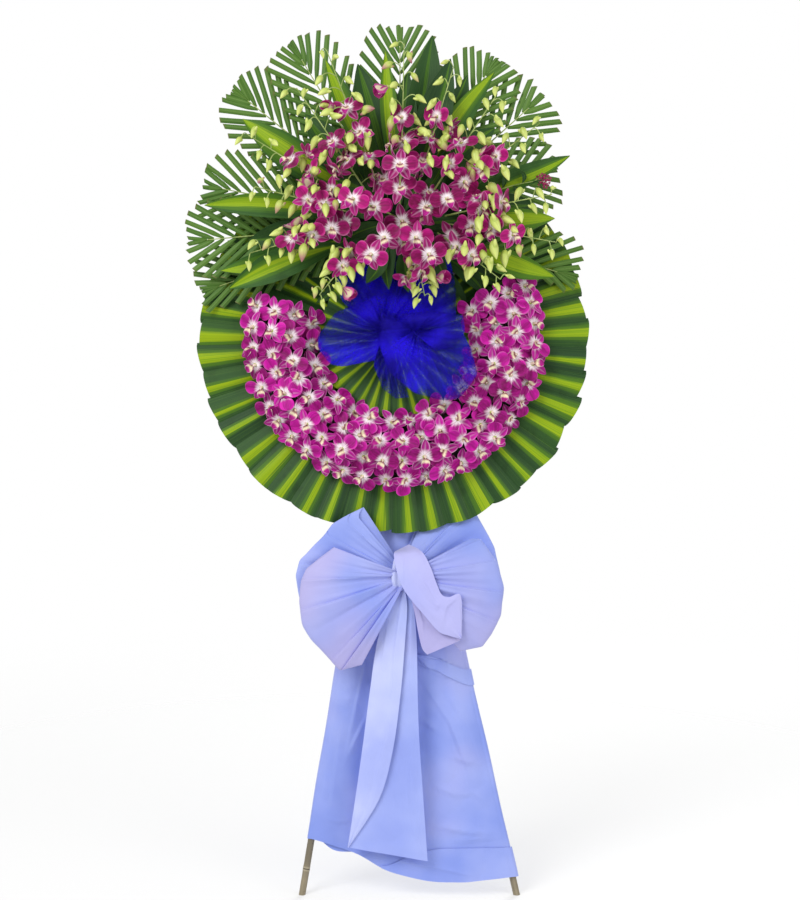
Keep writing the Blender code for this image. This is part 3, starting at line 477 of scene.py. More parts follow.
def bezier(start, control, end, t):
    """A point of a curve that leaves towards a control point, at t from 0 to 1."""
    return start * (1 - t) ** 2 + control * (2 * t * (1 - t)) + end * t ** 2


def arc(path, count):
    """The points that cut a bezier curve into that many lengths."""
    return [bezier(*path, k / count) for k in range(count + 1)]


def radial(angle):
    """A unit vector in the panel at an angle from the right."""
    return Vector((math.cos(angle), 0, math.sin(angle)))


def swing(rng, most):
    """A random number from -most to most."""
    return rng.uniform(-most, most)


# Materials


class Value:
    """A number or colour that shader nodes work out, with which sums can be written."""

    def __init__(self, paint, socket):
        self.paint, self.socket = paint, socket

    def __add__(self, other):
        return self.paint.sum("ADD", self, other)

    def __sub__(self, other):
        return self.paint.sum("SUBTRACT", self, other)

    def __rsub__(self, other):
        return self.paint.sum("SUBTRACT", other, self)

    def __mul__(self, other):
        return self.paint.sum("MULTIPLY", self, other)

    def __truediv__(self, other):
        return self.paint.sum("DIVIDE", self, other)


class Paint:
    """A Principled material whose colour, bump and roughness come from nodes.

    Colours go from 0 to 255. along, across and tint are a point's marks, back is 1 behind.
    """

    def __init__(self, name, roughness=0.5, **settings):
        self.material = bpy.data.materials.new(name)
        self.material.use_nodes = True
        self.tree = self.material.node_tree
        self.shader = self.tree.nodes["Principled BSDF"]
        self.set("Roughness", roughness)
        for socket, value in settings.items():
            self.set(socket.replace("_", " "), value)
        marks = self.node("Attribute", "Vector", {}, attribute_name="marks")
        self.along, self.across, self.tint = (
            self.node("SeparateXYZ", axis, {"Vector": marks}) for axis in "XYZ")
        self.back = self.node("Attribute", "Fac", {}, attribute_name="back")
        self.place = self.node("TexCoord", "Object", {})

    def feed(self, socket, value):
        """Links a value to a socket, or sets a number or colour on it."""
        if isinstance(value, Value):
            self.tree.links.new(value.socket, socket)
        else:
            socket.default_value = linear(*value) if isinstance(value, tuple) else value

    def set(self, name, value):
        """The same on one of the shader's own sockets."""
        self.feed(self.shader.inputs[name], value)

    def node(self, kind, output, inputs, **settings):
        """Adds a node with those inputs and settings, and gives one of its outputs."""
        made = self.tree.nodes.new("ShaderNode" + kind)
        for name, value in settings.items():
            setattr(made, name, value)
        for key, value in inputs.items():
            self.feed(made.inputs[key], value)
        return Value(self, made.outputs[output])

    def sum(self, operation, *values):
        """One step of arithmetic."""
        return self.node("Math", 0, dict(enumerate(values)), operation=operation)

    def step(self, value, low, high):
        """0 below low, 1 above high and smooth between."""
        return self.node("MapRange", "Result", {"Value": value, "From Min": low, "From Max": high},
                         interpolation_type="SMOOTHSTEP")

    def mix(self, share, first, second):
        """The first colour where share is 0, the second where it is 1."""
        return self.node("Mix", "Result", {"Factor": share, "A": first, "B": second},
                         data_type="RGBA")

    def noise(self, scale, detail=3.0, roughness=0.5, where=None):
        """Soft noise from 0 to 1."""
        return self.node("TexNoise", "Fac", {"Vector": where or self.place, "Scale": scale,
                                             "Detail": detail, "Roughness": roughness})

    def grain(self, along, across, seed=0.0, detail=2.0):
        """Noise on the surface itself, as fine along and across it as those numbers say."""
        where = self.node("CombineXYZ", 0, {"X": self.along * along, "Y": self.across * across,
                                            "Z": self.tint * 37.0 + seed})
        return self.noise(1.0, detail, where=where)

    def sideways(self, centre=0.0):
        """How far a point lies from a line along the surface, across it."""
        return self.sum("ABSOLUTE", self.across - centre)

    def bump(self, height, depth, strength):
        """Unevenness of that depth."""
        inputs = {"Height": height, "Distance": depth, "Strength": strength}
        self.set("Normal", self.node("Bump", "Normal", inputs))


def striped_leaf(name, dark, bright, stripe, under, offset=0.2):
    """A strap leaf: dark sides with fine veins and a bright stripe with streaked edges."""
    paint = Paint(name, 0.45, Specular_IOR_Level=0.24)
    grain = paint.grain(1.5, 14.0)
    fine = paint.grain(0.7, 24.0, 9.0, 1.0)
    veins = paint.step(paint.grain(0.3, 46.0, 3.0, 0.0), 0.60, 0.72)
    blotch = paint.step(paint.noise(26.0), 0.55, 0.75)
    off = paint.sideways(paint.tint * (2 * offset) - offset)
    off = off + paint.grain(3.0, 0.5, 5.0) * 0.16 - 0.08
    width = paint.sum("FRACT", paint.tint * 7.3) * (stripe * 0.8) + stripe * 0.6
    edge = off / (width * (paint.along * 0.55 + 0.45)) + fine * 0.7 - 0.35
    inside = 1.0 - paint.step(edge, 0.50, 0.72)
    around = 1.0 - paint.step(edge, 0.95, 1.45)
    middle = paint.mix(paint.step(fine, 0.40, 0.66) * 0.7, bright, (104, 148, 14))
    side = paint.mix(grain, dark, tuple(min(255, level + 26) for level in dark))
    side = paint.mix(paint.tint * 0.4, side, (56, 100, 32))
    side = paint.mix(veins * 0.22, side, (104, 146, 50))
    side = paint.mix(blotch * 0.35, side, (22, 44, 16))
    side = paint.mix(around * 0.62, side, (86, 130, 18))
    below = paint.mix(around, under, (140, 160, 88))
    paint.set("Base Color", paint.mix(paint.back, paint.mix(inside, side, middle), below))
    paint.set("Roughness", grain * 0.2 + 0.42)
    paint.bump(paint.grain(0.4, 34.0, 2.0, 1.0), 0.5 * MM, 0.6)
    return paint.material


def palm_paint():
    """A folded palm leaflet: lengthwise grain, a paler under side and a dry cut end."""
    paint = Paint("palm_leaflet", 0.45, Specular_IOR_Level=0.25)
    grain = paint.grain(1.0, 6.0)
    fold = 1.0 - paint.step(paint.sideways(), 0.0, 0.22)
    tone = paint.mix(grain, (56, 92, 34), (88, 128, 50))
    tone = paint.mix(paint.tint * 0.5, tone, (104, 140, 58))
    tone = paint.mix(fold * 0.4, tone, (128, 158, 82))
    tone = paint.mix(paint.step(paint.along, 0.965, 0.995) * 0.6, tone, (120, 104, 66))
    paint.set("Base Color", paint.mix(paint.back, tone, (92, 124, 66)))
    paint.set("Roughness", grain * 0.2 + 0.40)
    paint.bump(grain, 0.3 * MM, 0.5)
    return paint.material


def tepal_paint(name, deep, light, white_to, edge, midline):
    """A petal: white at its foot, magenta outwards, some with a pale rim, cream and pale behind."""
    paint = Paint(name, 0.50, Specular_IOR_Level=0.16, Sheen_Weight=0.05)
    flow = paint.grain(2.0, 2.5)
    streaks = paint.grain(0.8, 7.0, 6.0, 1.0)
    side = paint.sideways()
    reach = paint.along + flow * 0.16 + streaks * 0.20 - 0.18
    filled = paint.step(reach, white_to * 0.15, white_to)
    cloud = paint.step(paint.grain(3.0, 3.0, 4.0), 0.25, 0.75)
    shade = (paint.tint * 0.7 + cloud * 0.45) * (side * 0.7 + 0.5)
    rim = paint.step(side + flow * 0.3, 0.86, 1.24) * paint.sum("FRACT", paint.tint * 5.7)
    spine = (1.0 - paint.step(side, 0.0, 0.34)) * (1.05 - paint.along)
    body = paint.mix(shade, deep, light)
    body = paint.mix(paint.step(streaks, 0.50, 0.68) * 0.40, body, (110, 0, 80))
    body = paint.mix(rim * edge, body, (250, 210, 240))
    body = paint.mix(spine * midline, body, (248, 196, 234))
    front = paint.mix(filled, (252, 244, 248), body)
    behind = paint.mix(paint.step(side + flow, 0.75, 1.30), (222, 206, 176), (186, 64, 140))
    paint.set("Base Color", paint.mix(paint.back, front, behind))
    paint.bump(streaks, 0.4 * MM, 0.6)
    return paint.material


def lip_paint():
    """The lip: cream in its throat, veined magenta at its tongue, with a pale rim."""
    paint = Paint("orchid_lip", 0.4, Specular_IOR_Level=0.3)
    deep = paint.step(paint.along + paint.grain(3.0, 3.0) * 0.24 - 0.12, 0.30, 0.58)
    veins = paint.step(paint.grain(0.8, 9.0, detail=1.0), 0.46, 0.62)
    rim = paint.step(paint.sideways(), 0.82, 1.0)
    cream = paint.mix(paint.step(paint.along, 0.0, 0.30), (150, 40, 96), (248, 238, 200))
    tip = paint.mix(veins * 0.5, (184, 8, 138), (112, 0, 88))
    tip = paint.mix(rim * 0.5, tip, (250, 214, 240))
    paint.set("Base Color", paint.mix(deep, cream, tip))
    paint.bump(veins, 0.3 * MM, 0.5)
    return paint.material


def plain_paint(name, first, second, scale=60.0, roughness=0.5, depth=0.3 * MM):
    """Two near colours over each other in soft patches, with a slight unevenness."""
    paint = Paint(name, roughness)
    paint.set("Base Color", paint.mix(paint.step(paint.noise(scale), 0.3, 0.7), first, second))
    paint.bump(paint.noise(scale * 6, 2.0), depth, 0.6)
    return paint.material


def bud_paint():
    """A bud: yellow-green with three darker seams, and some with a magenta tip."""
    paint = Paint("orchid_bud", 0.42, Specular_IOR_Level=0.4)
    seam = paint.step(paint.sum("COSINE", paint.across * 9.42), 0.75, 1.0)
    blush = paint.step(paint.tint, 0.76, 0.98) * paint.step(paint.along, 0.3, 0.9)
    green = paint.mix(paint.step(paint.along, 0.1, 0.8), (170, 192, 56), (218, 230, 118))
    green = paint.mix(seam * 0.35, green, (150, 172, 56))
    green = paint.mix(paint.grain(3.0, 3.0, 7.0) * 0.5, green, (216, 220, 160))
    paint.set("Base Color", paint.mix(blush * 0.8, green, (160, 24, 116)))
    return paint.material


def bamboo_paint():
    """Weathered bamboo with a dark line and a pale ring at each joint, where back is near 1."""
    paint = Paint("bamboo_skin", 0.5, Specular_IOR_Level=0.35)
    fibres = paint.grain(5.0, 9.0, detail=3.0)
    skin = paint.mix(fibres, (126, 114, 90), (176, 164, 138))
    skin = paint.mix(paint.step(paint.noise(9.0, 4.0), 0.40, 0.70) * 0.7, skin, (104, 98, 86))
    skin = paint.mix(paint.step(paint.noise(160.0, 2.0), 0.66, 0.74) * 0.6, skin, (62, 54, 42))
    skin = paint.mix(paint.step(paint.back, 0.1, 0.6) * 0.5, skin, (196, 186, 160))
    skin = paint.mix(paint.step(paint.back, 0.84, 0.95) * 0.8, skin, (58, 48, 34))
    paint.set("Base Color", skin)
    paint.bump(fibres, 0.4 * MM, 0.7)
    return paint.material


def board_paint():
    """Expanded foam: white beads pressed together."""
    paint = Paint("expanded_foam", 0.8)
    beads = paint.node("TexVoronoi", "Distance", {"Vector": paint.place, "Scale": 240.0})
    dirt = paint.step(paint.noise(7.0, 4.0), 0.5, 0.8)
    white = paint.mix(dirt, (238, 238, 232), (206, 202, 188))
    # Greyer between the beads: painted shade in the hollows between them.
    paint.set("Base Color", paint.mix(paint.step(beads, 0.35, 0.75) * 0.35, white, (176, 174, 164)))
    paint.bump(1.0 - beads, 0.8 * MM, 0.7)
    return paint.material


def cloth_paint(name, first, second, warm):
    """Thin pale cloth with soft patches of a warmer tone and a fine weave."""
    paint = Paint(name, 0.55, Sheen_Weight=0.35, Sheen_Roughness=0.4, Specular_IOR_Level=0.3)
    blush = paint.step(paint.noise(4.5, 2.0, 0.4) + paint.tint * 0.6, 0.68, 1.0)
    tone = paint.mix(paint.step(paint.noise(5.0), 0.35, 0.68), first, second)
    paint.set("Base Color", paint.mix(blush * 0.75, tone, warm))
    threads = paint.node("TexWave", "Fac", {"Vector": paint.place, "Scale": 900.0 / TAU},
                         bands_direction="Z")
    paint.bump(threads * 0.10 + paint.noise(22.0), 2.0 * MM, 0.5)
    return paint.material


def net_paint():
    """Fine blue net: see-through where one layer lies, dense where it is bunched."""
    paint = Paint("blue_net", 0.6, Sheen_Weight=0.06, Sheen_Roughness=0.3, Specular_IOR_Level=0.10)
    streaks = paint.grain(1.2, 6.0, detail=3.0)
    threads = paint.grain(0.8, 16.0, 4.0)
    patches = paint.noise(13.0, 4.0)
    mesh = paint.noise(520.0, 1.0)
    tone = paint.mix(paint.step(patches, 0.38, 0.62), (6, 0, 112), (36, 12, 232))
    tone = paint.mix(paint.step(threads, 0.52, 0.66) * 0.5, tone, (46, 34, 246))
    paint.set("Base Color", paint.mix(paint.tint * 0.35, tone, (50, 34, 224)))
    gathered = paint.sum("POWER", paint.sum("ABSOLUTE", paint.along * 2.0 - 1.0), 1.3)
    cover = paint.step(streaks, 0.36, 0.64) * 0.12 - paint.step(threads, 0.4, 0.6) * 0.12
    cover = cover + patches * 0.60 + mesh * 0.4 + paint.noise(230.0, 1.0) * 0.5
    paint.set("Alpha", cover + gathered * 0.42 - 0.52)
    paint.bump(mesh, 0.6 * MM, 0.4)
    return paint.material


STRIPED = striped_leaf("striped_leaf", (22, 54, 20), (150, 176, 10), 0.40, (96, 124, 66))
BROAD = striped_leaf("broad_striped_leaf", (30, 72, 14), (150, 178, 20), 0.85, (100, 128, 62), 0.4)
DARK = striped_leaf("dark_leaf", (18, 52, 16), (50, 92, 22), 0.16, (84, 112, 62))
PALM = palm_paint()
PETAL = tepal_paint("orchid_petal", (112, 0, 76), (220, 26, 176), 0.24, 0.22, 0.0)
SEPAL = tepal_paint("orchid_sepal", (128, 0, 92), (224, 44, 184), 0.25, 0.75, 0.38)
SPRAY_PETAL = tepal_paint("spray_petal", (96, 0, 50), (208, 26, 140), 0.24, 0.26, 0.0)
SPRAY_SEPAL = tepal_paint("spray_sepal", (112, 0, 62), (212, 44, 152), 0.25, 0.75, 0.38)
LIP = lip_paint()
COLUMN = plain_paint("orchid_column", (244, 230, 206), (226, 190, 176), 900.0, 0.4, 0.1 * MM)
BUD = bud_paint()
STEM = plain_paint("green_stem", (178, 194, 116), (132, 156, 76), 90.0, 0.45)
FOAM_GREEN = plain_paint("floral_foam", (26, 62, 34), (18, 44, 26), 300.0, 0.95, 0.8 * MM)
# The horseshoe's base: dark leaf green, made near black and purplish as painted shade in the gaps
# between the blooms.
BAND_CORE_SHADE = plain_paint("dark_leaves_and_painted_shade", (24, 30, 16), (40, 22, 34), 120.0, 0.9, 1.0 * MM)
BAMBOO = bamboo_paint()
BOARD = board_paint()
CORD = plain_paint("jute_cord", (122, 108, 84), (92, 80, 62), 500.0, 0.85, 0.5 * MM)
WIRE = plain_paint("tie_wire", (120, 122, 124), (84, 86, 88), 300.0, 0.4, 0.1 * MM)
CLOTH_PAINT = cloth_paint("pale_cloth", (134, 154, 232), (164, 178, 242), (190, 180, 226))
TAIL_PAINT = cloth_paint("tail_cloth", (172, 184, 246), (204, 212, 253), (204, 196, 242))
# A darker copy of tail_cloth: painted shade on the long tail under its lighter lap, and on the
# short tail.
TAIL_SHADED = cloth_paint("tail_shaded_cloth", (152, 168, 240), (178, 192, 250), (190, 186, 238))
NET_PAINT = net_paint()


# Orchid blooms


def half_widths(rows, peak, foot, blunt):
    """Half width along a tepal: a narrow foot, widest at peak, and a blunt or pointed tip."""
    found = []
    for u in rows:
        if u < peak:
            found.append(foot + (1 - foot) * math.sin(u / peak * math.pi / 2) ** 1.3)
        else:
            rest = (u - peak) / (1 - peak)
            found.append(max(0.03, (1 - rest ** blunt) ** (0.5 if blunt > 1.9 else 0.8)))
    return np.array(found)


def tepal(angle, size, shape, tilts, cup, rng, steps):
    """One petal or sepal, from the throat outwards.

    size: length and half width. shape: where it is widest, its foot and how blunt it is.
    tilts: how far it leans to the front at its foot and at its tip. cup: how far its edges rise.
    """
    u = np.sin(np.linspace(0, math.pi / 2, steps[0])) ** 0.9
    v = np.linspace(-1, 1, steps[1])[None, :]
    widths = (half_widths(u, *shape) * size[1])[:, None]
    tilt = (tilts[0] + (tilts[1] - tilts[0]) * u)[:, None]
    length = np.diff(u, prepend=0)[:, None] * size[0]
    out = THROAT_RADIUS + np.cumsum(length * np.cos(tilt), axis=0)
    rise = np.cumsum(length * np.sin(tilt), axis=0)
    t = u[:, None]
    wave = rng.uniform(0.5, 1.5) * MM * np.sin(6 * t + rng.uniform(0, TAU) + 2 * v) * v * v * t
    twist = swing(rng, 0.3) * widths * v * t
    keel = -0.10 * widths * (1 - np.abs(v)) ** 2
    off = cup * widths * v * v + wave + twist + keel
    along = np.array((math.cos(angle), math.sin(angle), 0))
    across = np.array((-along[1], along[0], 0))
    reach = (out - off * np.sin(tilt))[..., None]
    height = (rise + off * np.cos(tilt))[..., None]
    grid = along * reach + across * (widths * v)[..., None] + np.array((0, 0, 1)) * height
    return shell(grid)


def lip_surface(spread):
    """The lip: a trough that comes out of the throat and ends in a wavy tongue."""
    u, v = lattice(9, 9)
    tongue = np.sin(math.pi * np.minimum(1, 0.10 + 0.86 * u)) ** 0.9
    half = (2.2 + spread * tongue) * MM
    down = -(1.0 + 17 * u) * MM
    out = (3.5 + 8.5 * np.sin(math.pi * 0.55 * u)) * MM - 6 * MM * np.maximum(0, u - 0.55)
    edge = (6.5 * (1 - u) ** 0.8 + 0.6) * MM * v * v
    frill = 0.9 * MM * np.sin(9 * v + 5 * u) * u * v * v
    grid = np.stack([half * v, down + 0 * v, out + edge + frill], 2)
    return shell(grid)


def column_surface():
    """The pale column over the lip."""
    path = [(0, 0.5 * MM, 0), (0, 1.8 * MM, 3 * MM), (0, 1.6 * MM, 6.5 * MM), (0, 0, 9 * MM)]
    return tube(path, np.array((2.2, 2.5, 2.3, 1.3)) * MM, 8)


def throat_surface():
    """A short cone behind the tepals that carries them."""
    path = [(0, 0, 1.5 * MM), (0, 0, -1 * MM), (0, -1 * MM, -5 * MM), (0, -1 * MM, -10 * MM)]
    return tube(path, np.array((3.4, 4.2, 2.6, 1.2)) * MM, 8)


def bloom_template(rng, closing=0.0):
    """The surfaces of one bloom: (surface, paint). closing: 0 open, 1 nearly shut."""
    found = []
    lean = SHUT_LEAN * closing
    for degrees in SEPAL_ANGLES:
        angle = math.radians(degrees + swing(rng, 8))
        foot = math.radians(rng.uniform(-6, 10)) + lean
        tip = math.radians(rng.uniform(-34, -8)) + lean * 1.1
        found.append((tepal(angle, (SEPAL_LENGTH, SEPAL_HALF_WIDTH), SEPAL_SHAPE,
                            (foot, tip), 0.25, rng, (9, 6)), SEPAL_AT))
    for degrees in PETAL_ANGLES:
        angle = math.radians(degrees + swing(rng, 8))
        foot = math.radians(rng.uniform(8, 24)) + lean
        tip = math.radians(rng.uniform(-26, 0)) + lean
        found.append((tepal(angle, (PETAL_LENGTH, PETAL_HALF_WIDTH), PETAL_SHAPE,
                            (foot, tip), rng.uniform(-0.10, 0.25), rng, (9, 8)), PETAL_AT))
    if closing < 0.9:
        found.append((lip_surface(5.4 * (1 - 0.3 * closing)), LIP_AT))
        found.append((column_surface(), COLUMN_AT))
    found.append((throat_surface(), BUD_AT))
    return found


SPRIG = plain_paint("red_sprig_flower", (120, 8, 62), (168, 34, 92), 500.0, 0.5, 0.1 * MM)
BLOOM_PAINTS = [PETAL, SEPAL, LIP, COLUMN, BUD, STEM, BAND_CORE_SHADE]
SPRAY_PAINTS = [SPRAY_PETAL, SPRAY_SEPAL, LIP, COLUMN, BUD, STEM, BAND_CORE_SHADE]
PETAL_AT, SEPAL_AT, LIP_AT, COLUMN_AT, BUD_AT, STEM_AT, CORE_AT, SPRIG_AT, DARK_AT = range(9)
template_rng = random.Random(SEEDS["blooms"])
OPEN_BLOOMS = [bloom_template(template_rng) for _ in range(10)]
HALF_BLOOMS = [bloom_template(template_rng, HALF_CLOSED) for _ in range(4)]
SHUT_BLOOMS = [bloom_template(template_rng, 1.0) for _ in range(3)]


def add_stalk(cluster, start, end, sag, radius):
    """A thin bent stalk between two points."""
    start, end = Vector(start), Vector(end)
    middle = (start + end) / 2 + Vector((0, 0, sag))
    cluster.add(tube(arc((start, middle, end), 5), radius, 6), paint=STEM_AT)


def add_bloom(cluster, kinds, rng, place, normal, roll, scale, stem=None, stalk=(0, 1.1, 8)):
    """A bloom and its stalk: how far it sags, its radius and where it ends behind, all in mm."""
    matrix = facing(place, normal, roll, scale)
    tint = rng.random()
    for surface, paint in rng.choice(kinds):
        cluster.add(surface, matrix, tint, paint)
    if stem is not None:
        sag, radius, behind = (value * MM for value in stalk)
        add_stalk(cluster, stem, place - normal * behind, sag, radius)


def bud_surfaces():
    """A pointed bud of unit length along +Z with the short spur that dendrobiums have."""
    path, radii = [], []
    for i in range(9):
        t = i / 8
        path.append((0.10 * math.sin(math.pi * t) + 0.16 * t ** 3, 0, t))
        radii.append(0.245 * math.sin(math.pi * (0.05 + 0.93 * t) ** 0.68) ** 0.9 + 0.004)
    spur = [(-0.02, 0, 0.36), (-0.18, 0, 0.22), (-0.31, 0, 0.04)]
    return tube(path, radii, 10), tube(spur, (0.15, 0.13, 0.06), 8)


BUD_SURFACES = bud_surfaces()


def add_bud(cluster, rng, joint, away, size):
    """A bud on its bent stalk: out and up from the stem, then hanging."""
    away = Vector(away)
    reach = size * rng.uniform(0.55, 1.0)
    crest = joint + away * reach * 0.6 + Vector((0, 0, size * 0.50))
    neck = joint + away * reach + Vector((0, 0, size * rng.uniform(-0.05, 0.20)))
    stalk = tube(arc((joint, crest, neck), 6), np.linspace(0.9, 1.2, 7) * MM, 6)
    cluster.add(stalk, paint=STEM_AT)
    droop = away * rng.uniform(0.1, 1.2) + Vector((swing(rng, 0.35), 0, -1))
    turn = droop.normalized().to_track_quat("Z", "Y").to_matrix().to_4x4()
    place = Matrix.Translation(neck) @ turn @ Matrix.Rotation(rng.uniform(0, TAU), 4, "Z")
    tint = rng.random()
    for surface in BUD_SURFACES:
        cluster.add(surface, place @ Matrix.Scale(size, 4), tint, BUD_AT)


# Horseshoe


def block_edges():
    """The angles at which the foam blocks of the horseshoe start and end."""
    step = (BAND_END - BAND_START) / BAND_BLOCKS
    return [BAND_START + i * step for i in range(BAND_BLOCKS + 1)]


def off_joints(angle, radius):
    """Moves a bloom that would sit on a joint between two blocks."""
    keep = JOINT_CLEARANCE / radius
    for edge in block_edges():
        if abs(angle - edge) < keep:
            angle = edge + math.copysign(keep, angle - edge)
    return min(max(angle, BAND_START + keep), BAND_END - keep)


def band_blooms():
    """Each bloom of the horseshoe, where its solid is: (angle, place, normal, roll, layer)."""
    rng = random.Random(BAND_SEED)
    spots = []
    for offset in ROW_OFFSETS:
        radius = BAND_RADIUS + offset
        count = round((BAND_END - BAND_START) * radius / BLOOM_PITCH)
        step = (BAND_END - BAND_START) / count
        for i in range(count):
            angle = BAND_START + (i + 0.5 + swing(rng, BLOOM_JITTER)) * step
            roll = swing(rng, BLOOM_ROLL)
            spots.append((off_joints(angle, radius), radius, offset, roll))
    spots.sort()
    blooms = []
    for angle, radius, offset, roll in spots:
        across = offset / ROW_OFFSETS[-1]
        place = Vector((radius * math.sin(angle), 0, -radius * math.cos(angle)))
        taken = {
            layer for other, layer in ((b[1], b[4]) for b in blooms)
            if math.hypot(other.x - place.x, other.z - place.z) < BLOOM_REACH
        }
        layer = min(set(range(9)) - taken)
        outward = place.normalized()
        tilt = ROW_TILT * across
        normal = outward * math.sin(tilt) + Vector((0, -math.cos(tilt), 0))
        height = BLOOM_CLEARANCE + BLOCK_HEIGHT * (1 - ROW_DROP * across ** 2)
        place.y = BAND_BASE - height - layer * LAYER_STEP
        blooms.append((angle, place, normal, roll, layer))
    return blooms


def block_surface(start, end):
    """The domed foam under the blooms."""
    angles = np.linspace(start + GAP / BAND_RADIUS, end - GAP / BAND_RADIUS, 24)
    turns = np.linspace(0, math.pi, 13)
    grid = np.zeros((len(angles), len(turns), 3))
    for i, angle in enumerate(angles):
        for j, turn in enumerate(turns):
            radius = BAND_RADIUS + (BLOCK_HALF_WIDTH - 2 * MM) * math.cos(turn)
            height = (BLOCK_HEIGHT - 2 * MM) * math.sin(turn) + 1 * MM
            grid[i, j] = (radius * math.sin(angle), BAND_BASE - height, -radius * math.cos(angle))
    return shell(grid, 2 * MM)


def make_band():
    """The horseshoe: foam blocks with the blooms of the CAD model, each turned a little."""
    rng = random.Random(SEEDS["band"])
    blooms = band_blooms()
    edges = block_edges()
    for i, (start, end) in enumerate(zip(edges, edges[1:]), 1):
        cluster = Cluster()
        # The dark foam under the blooms paints the shade in the gaps between them.
        cluster.add(block_surface(start, end), AT_DISC, 0.5, CORE_AT)
        for angle, place, normal, roll, _ in blooms:
            if start <= angle < end:
                sway = Vector((swing(rng, 0.36), 0, rng.uniform(-0.42, 0.24)))
                turn = roll + rng.choice((0, 0, 0.9, -0.9, 1.9, -1.9))
                place = DISC + place
                add_bloom(cluster, OPEN_BLOOMS, rng, place, normal + sway, turn,
                          rng.uniform(1.0, 1.12))
                add_stalk(cluster, place - normal * 8 * MM, place - normal * 22 * MM, 0, 1.2 * MM)
        cluster.build(f"horseshoe_{i}", "orchid", BLOOM_PAINTS, [f"flower_band_{i}"])


# Leaves of the disc


def disc_leaf(centre, half_angle, radii, valley, pleat, rng):
    """A strap leaf along a radius of the disc, folded along its middle and lapped on the next."""
    inner, outer = radii
    u, v = lattice(22, 11)
    reach = outer + rng.uniform(-5, 4) * MM
    cut = swing(rng, 6.5) * MM
    tip = reach + cut * v - 3 * MM * np.abs(v) ** 5
    radius = inner + (tip - inner) * u
    angle = centre + half_angle * 1.2 * v + swing(rng, 0.10) * half_angle
    fold = 1 - np.abs(v) / (1 + 0.12 * (1 - np.abs(v)))
    bow = swing(rng, 1.0) * MM * np.sin(math.pi * u)
    curl = rng.uniform(-1.5, 2.5) * MM * u ** 4
    ripple = rng.uniform(0.2, 0.8) * MM * np.sin(7 * u + rng.uniform(0, TAU)) * v * np.abs(v)
    height = pleat * rng.uniform(0.75, 1.0) * fold ** 0.9 + bow + curl + ripple
    depth = valley - height + 1.1 * MM * v
    grid = np.stack([radius * np.sin(angle), depth, -radius * np.cos(angle)], 2)
    return shell(grid)


def foam_in_the_way(angle, outer):
    """Whether a leaf of the disc at an angle from straight down would run into the foam block."""
    for share in np.linspace(-0.5, 0.5, 11):
        z = FOAM.z - DISC_Z + FOAM_SIZE[2] * share
        x = -z * math.tan(angle)
        beside = abs(x - FOAM.x) < FOAM_SIZE[0] / 2 + FOAM_CLEARANCE
        if abs(angle) > math.pi / 2 and beside and math.hypot(x, z) < outer:
            return True
    return False


def leaf_ring(start, pitch, count, inner, outer, valley, pleat, rng):
    """Leaves side by side, on from an angle."""
    cluster = Cluster()
    for j in range(count):
        centre = math.remainder(start + (j + 0.5) * pitch, TAU)
        root = ABOVE_FOAM if foam_in_the_way(centre, outer) else inner
        leaf = disc_leaf(centre, pitch / 2, (root, outer), valley, pleat, rng)
        cluster.add(leaf, AT_DISC, rng.random())
    return cluster


def make_fans():
    """Both rings of leaves. Their upper parts, which the fronds cover, are pieces of their own."""
    rng = random.Random(SEEDS["fans"])
    end = FAN_COUNT * LEAVES_PER_FAN * LEAF_PITCH / 2
    fold = (FAN_VALLEY - 0.4 * MM, FAN_PLEAT, rng)
    for i in range(FAN_COUNT):
        ring = leaf_ring(-end + i * LEAVES_PER_FAN * LEAF_PITCH, LEAF_PITCH, LEAVES_PER_FAN,
                         FAN_INNER, FAN_OUTER, *fold)
        ring.build(f"disc_leaves_{i + 1}", "leaf", [STRIPED], [f"leaf_fan_{i + 1}"])
    ring = leaf_ring(end, LEAF_PITCH, TOP_LEAVES, FAN_INNER, FAN_OUTER - 6 * MM, *fold)
    ring.build("disc_leaves_top", "leaf", [STRIPED])
    end = INNER_LEAVES * INNER_PITCH / 2
    leaf = (INNER_ROOT, INNER_TIP, INNER_VALLEY - 0.3 * MM, INNER_PLEAT, rng)
    ring = leaf_ring(-end, INNER_PITCH, INNER_LEAVES, *leaf)
    ring.build("inner_leaves", "leaf", [STRIPED], ["inner_leaf_fan"])
    ring = leaf_ring(end, (TAU - 2 * end) / INNER_TOP_LEAVES, INNER_TOP_LEAVES, *leaf)
    heart = [DISC + Vector((0, INNER_VALLEY + depth * MM, 0)) for depth in (3, 1, -2, -5)]
    ring.add(tube(heart, (0.024, 0.026, 0.022, 0.010), 24), tint=0.2)
    ring.build("inner_leaves_top", "leaf", [STRIPED])


# Fronds and broad leaves


def exit_distance(angle):
    """How far the foam's side lies from its centre along an angle."""
    across = abs(math.cos(angle)) / (FOAM_SIZE[0] / 2)
    up = abs(math.sin(angle)) / (FOAM_SIZE[2] / 2)
    return 1 / max(across, up)


def standing(angle, depth):
    """Where a leaf made along +X stands round the foam's centre."""
    return Matrix.Translation((FOAM.x, depth, FOAM.z)) @ Matrix.Rotation(-angle, 4, "Y")


def leaf_half(t):
    """Half width of a broad leaf along it, as a share of the widest."""
    return max(0.02, math.sin(math.pi * min(1, 0.05 + 0.95 * t) ** 1.15) ** 0.85)


def broad_leaf(start, length, half_width, rng, arch=0.012):
    """A long pointed blade with a channel."""
    t, v = lattice(36, 11)
    x = start + (length - start) * t
    half = half_width * np.vectorize(leaf_half)(t)
    bend = swing(rng, 0.012) * np.sin(math.pi * t) + swing(rng, 0.006) * t * t
    channel = 0.30 * half * np.abs(v) ** 1.3
    ripple = rng.uniform(0.5, 1.6) * MM * np.sin(9 * t + rng.uniform(0, TAU) + 0.8 * v) * v * v
    twist = swing(rng, 0.25) * half * v * t
    y = -arch * np.sin(math.pi * t) - channel + ripple + twist
    return shell(np.stack([x + 0 * v, y, half * v + bend], 2), 0.7 * MM)


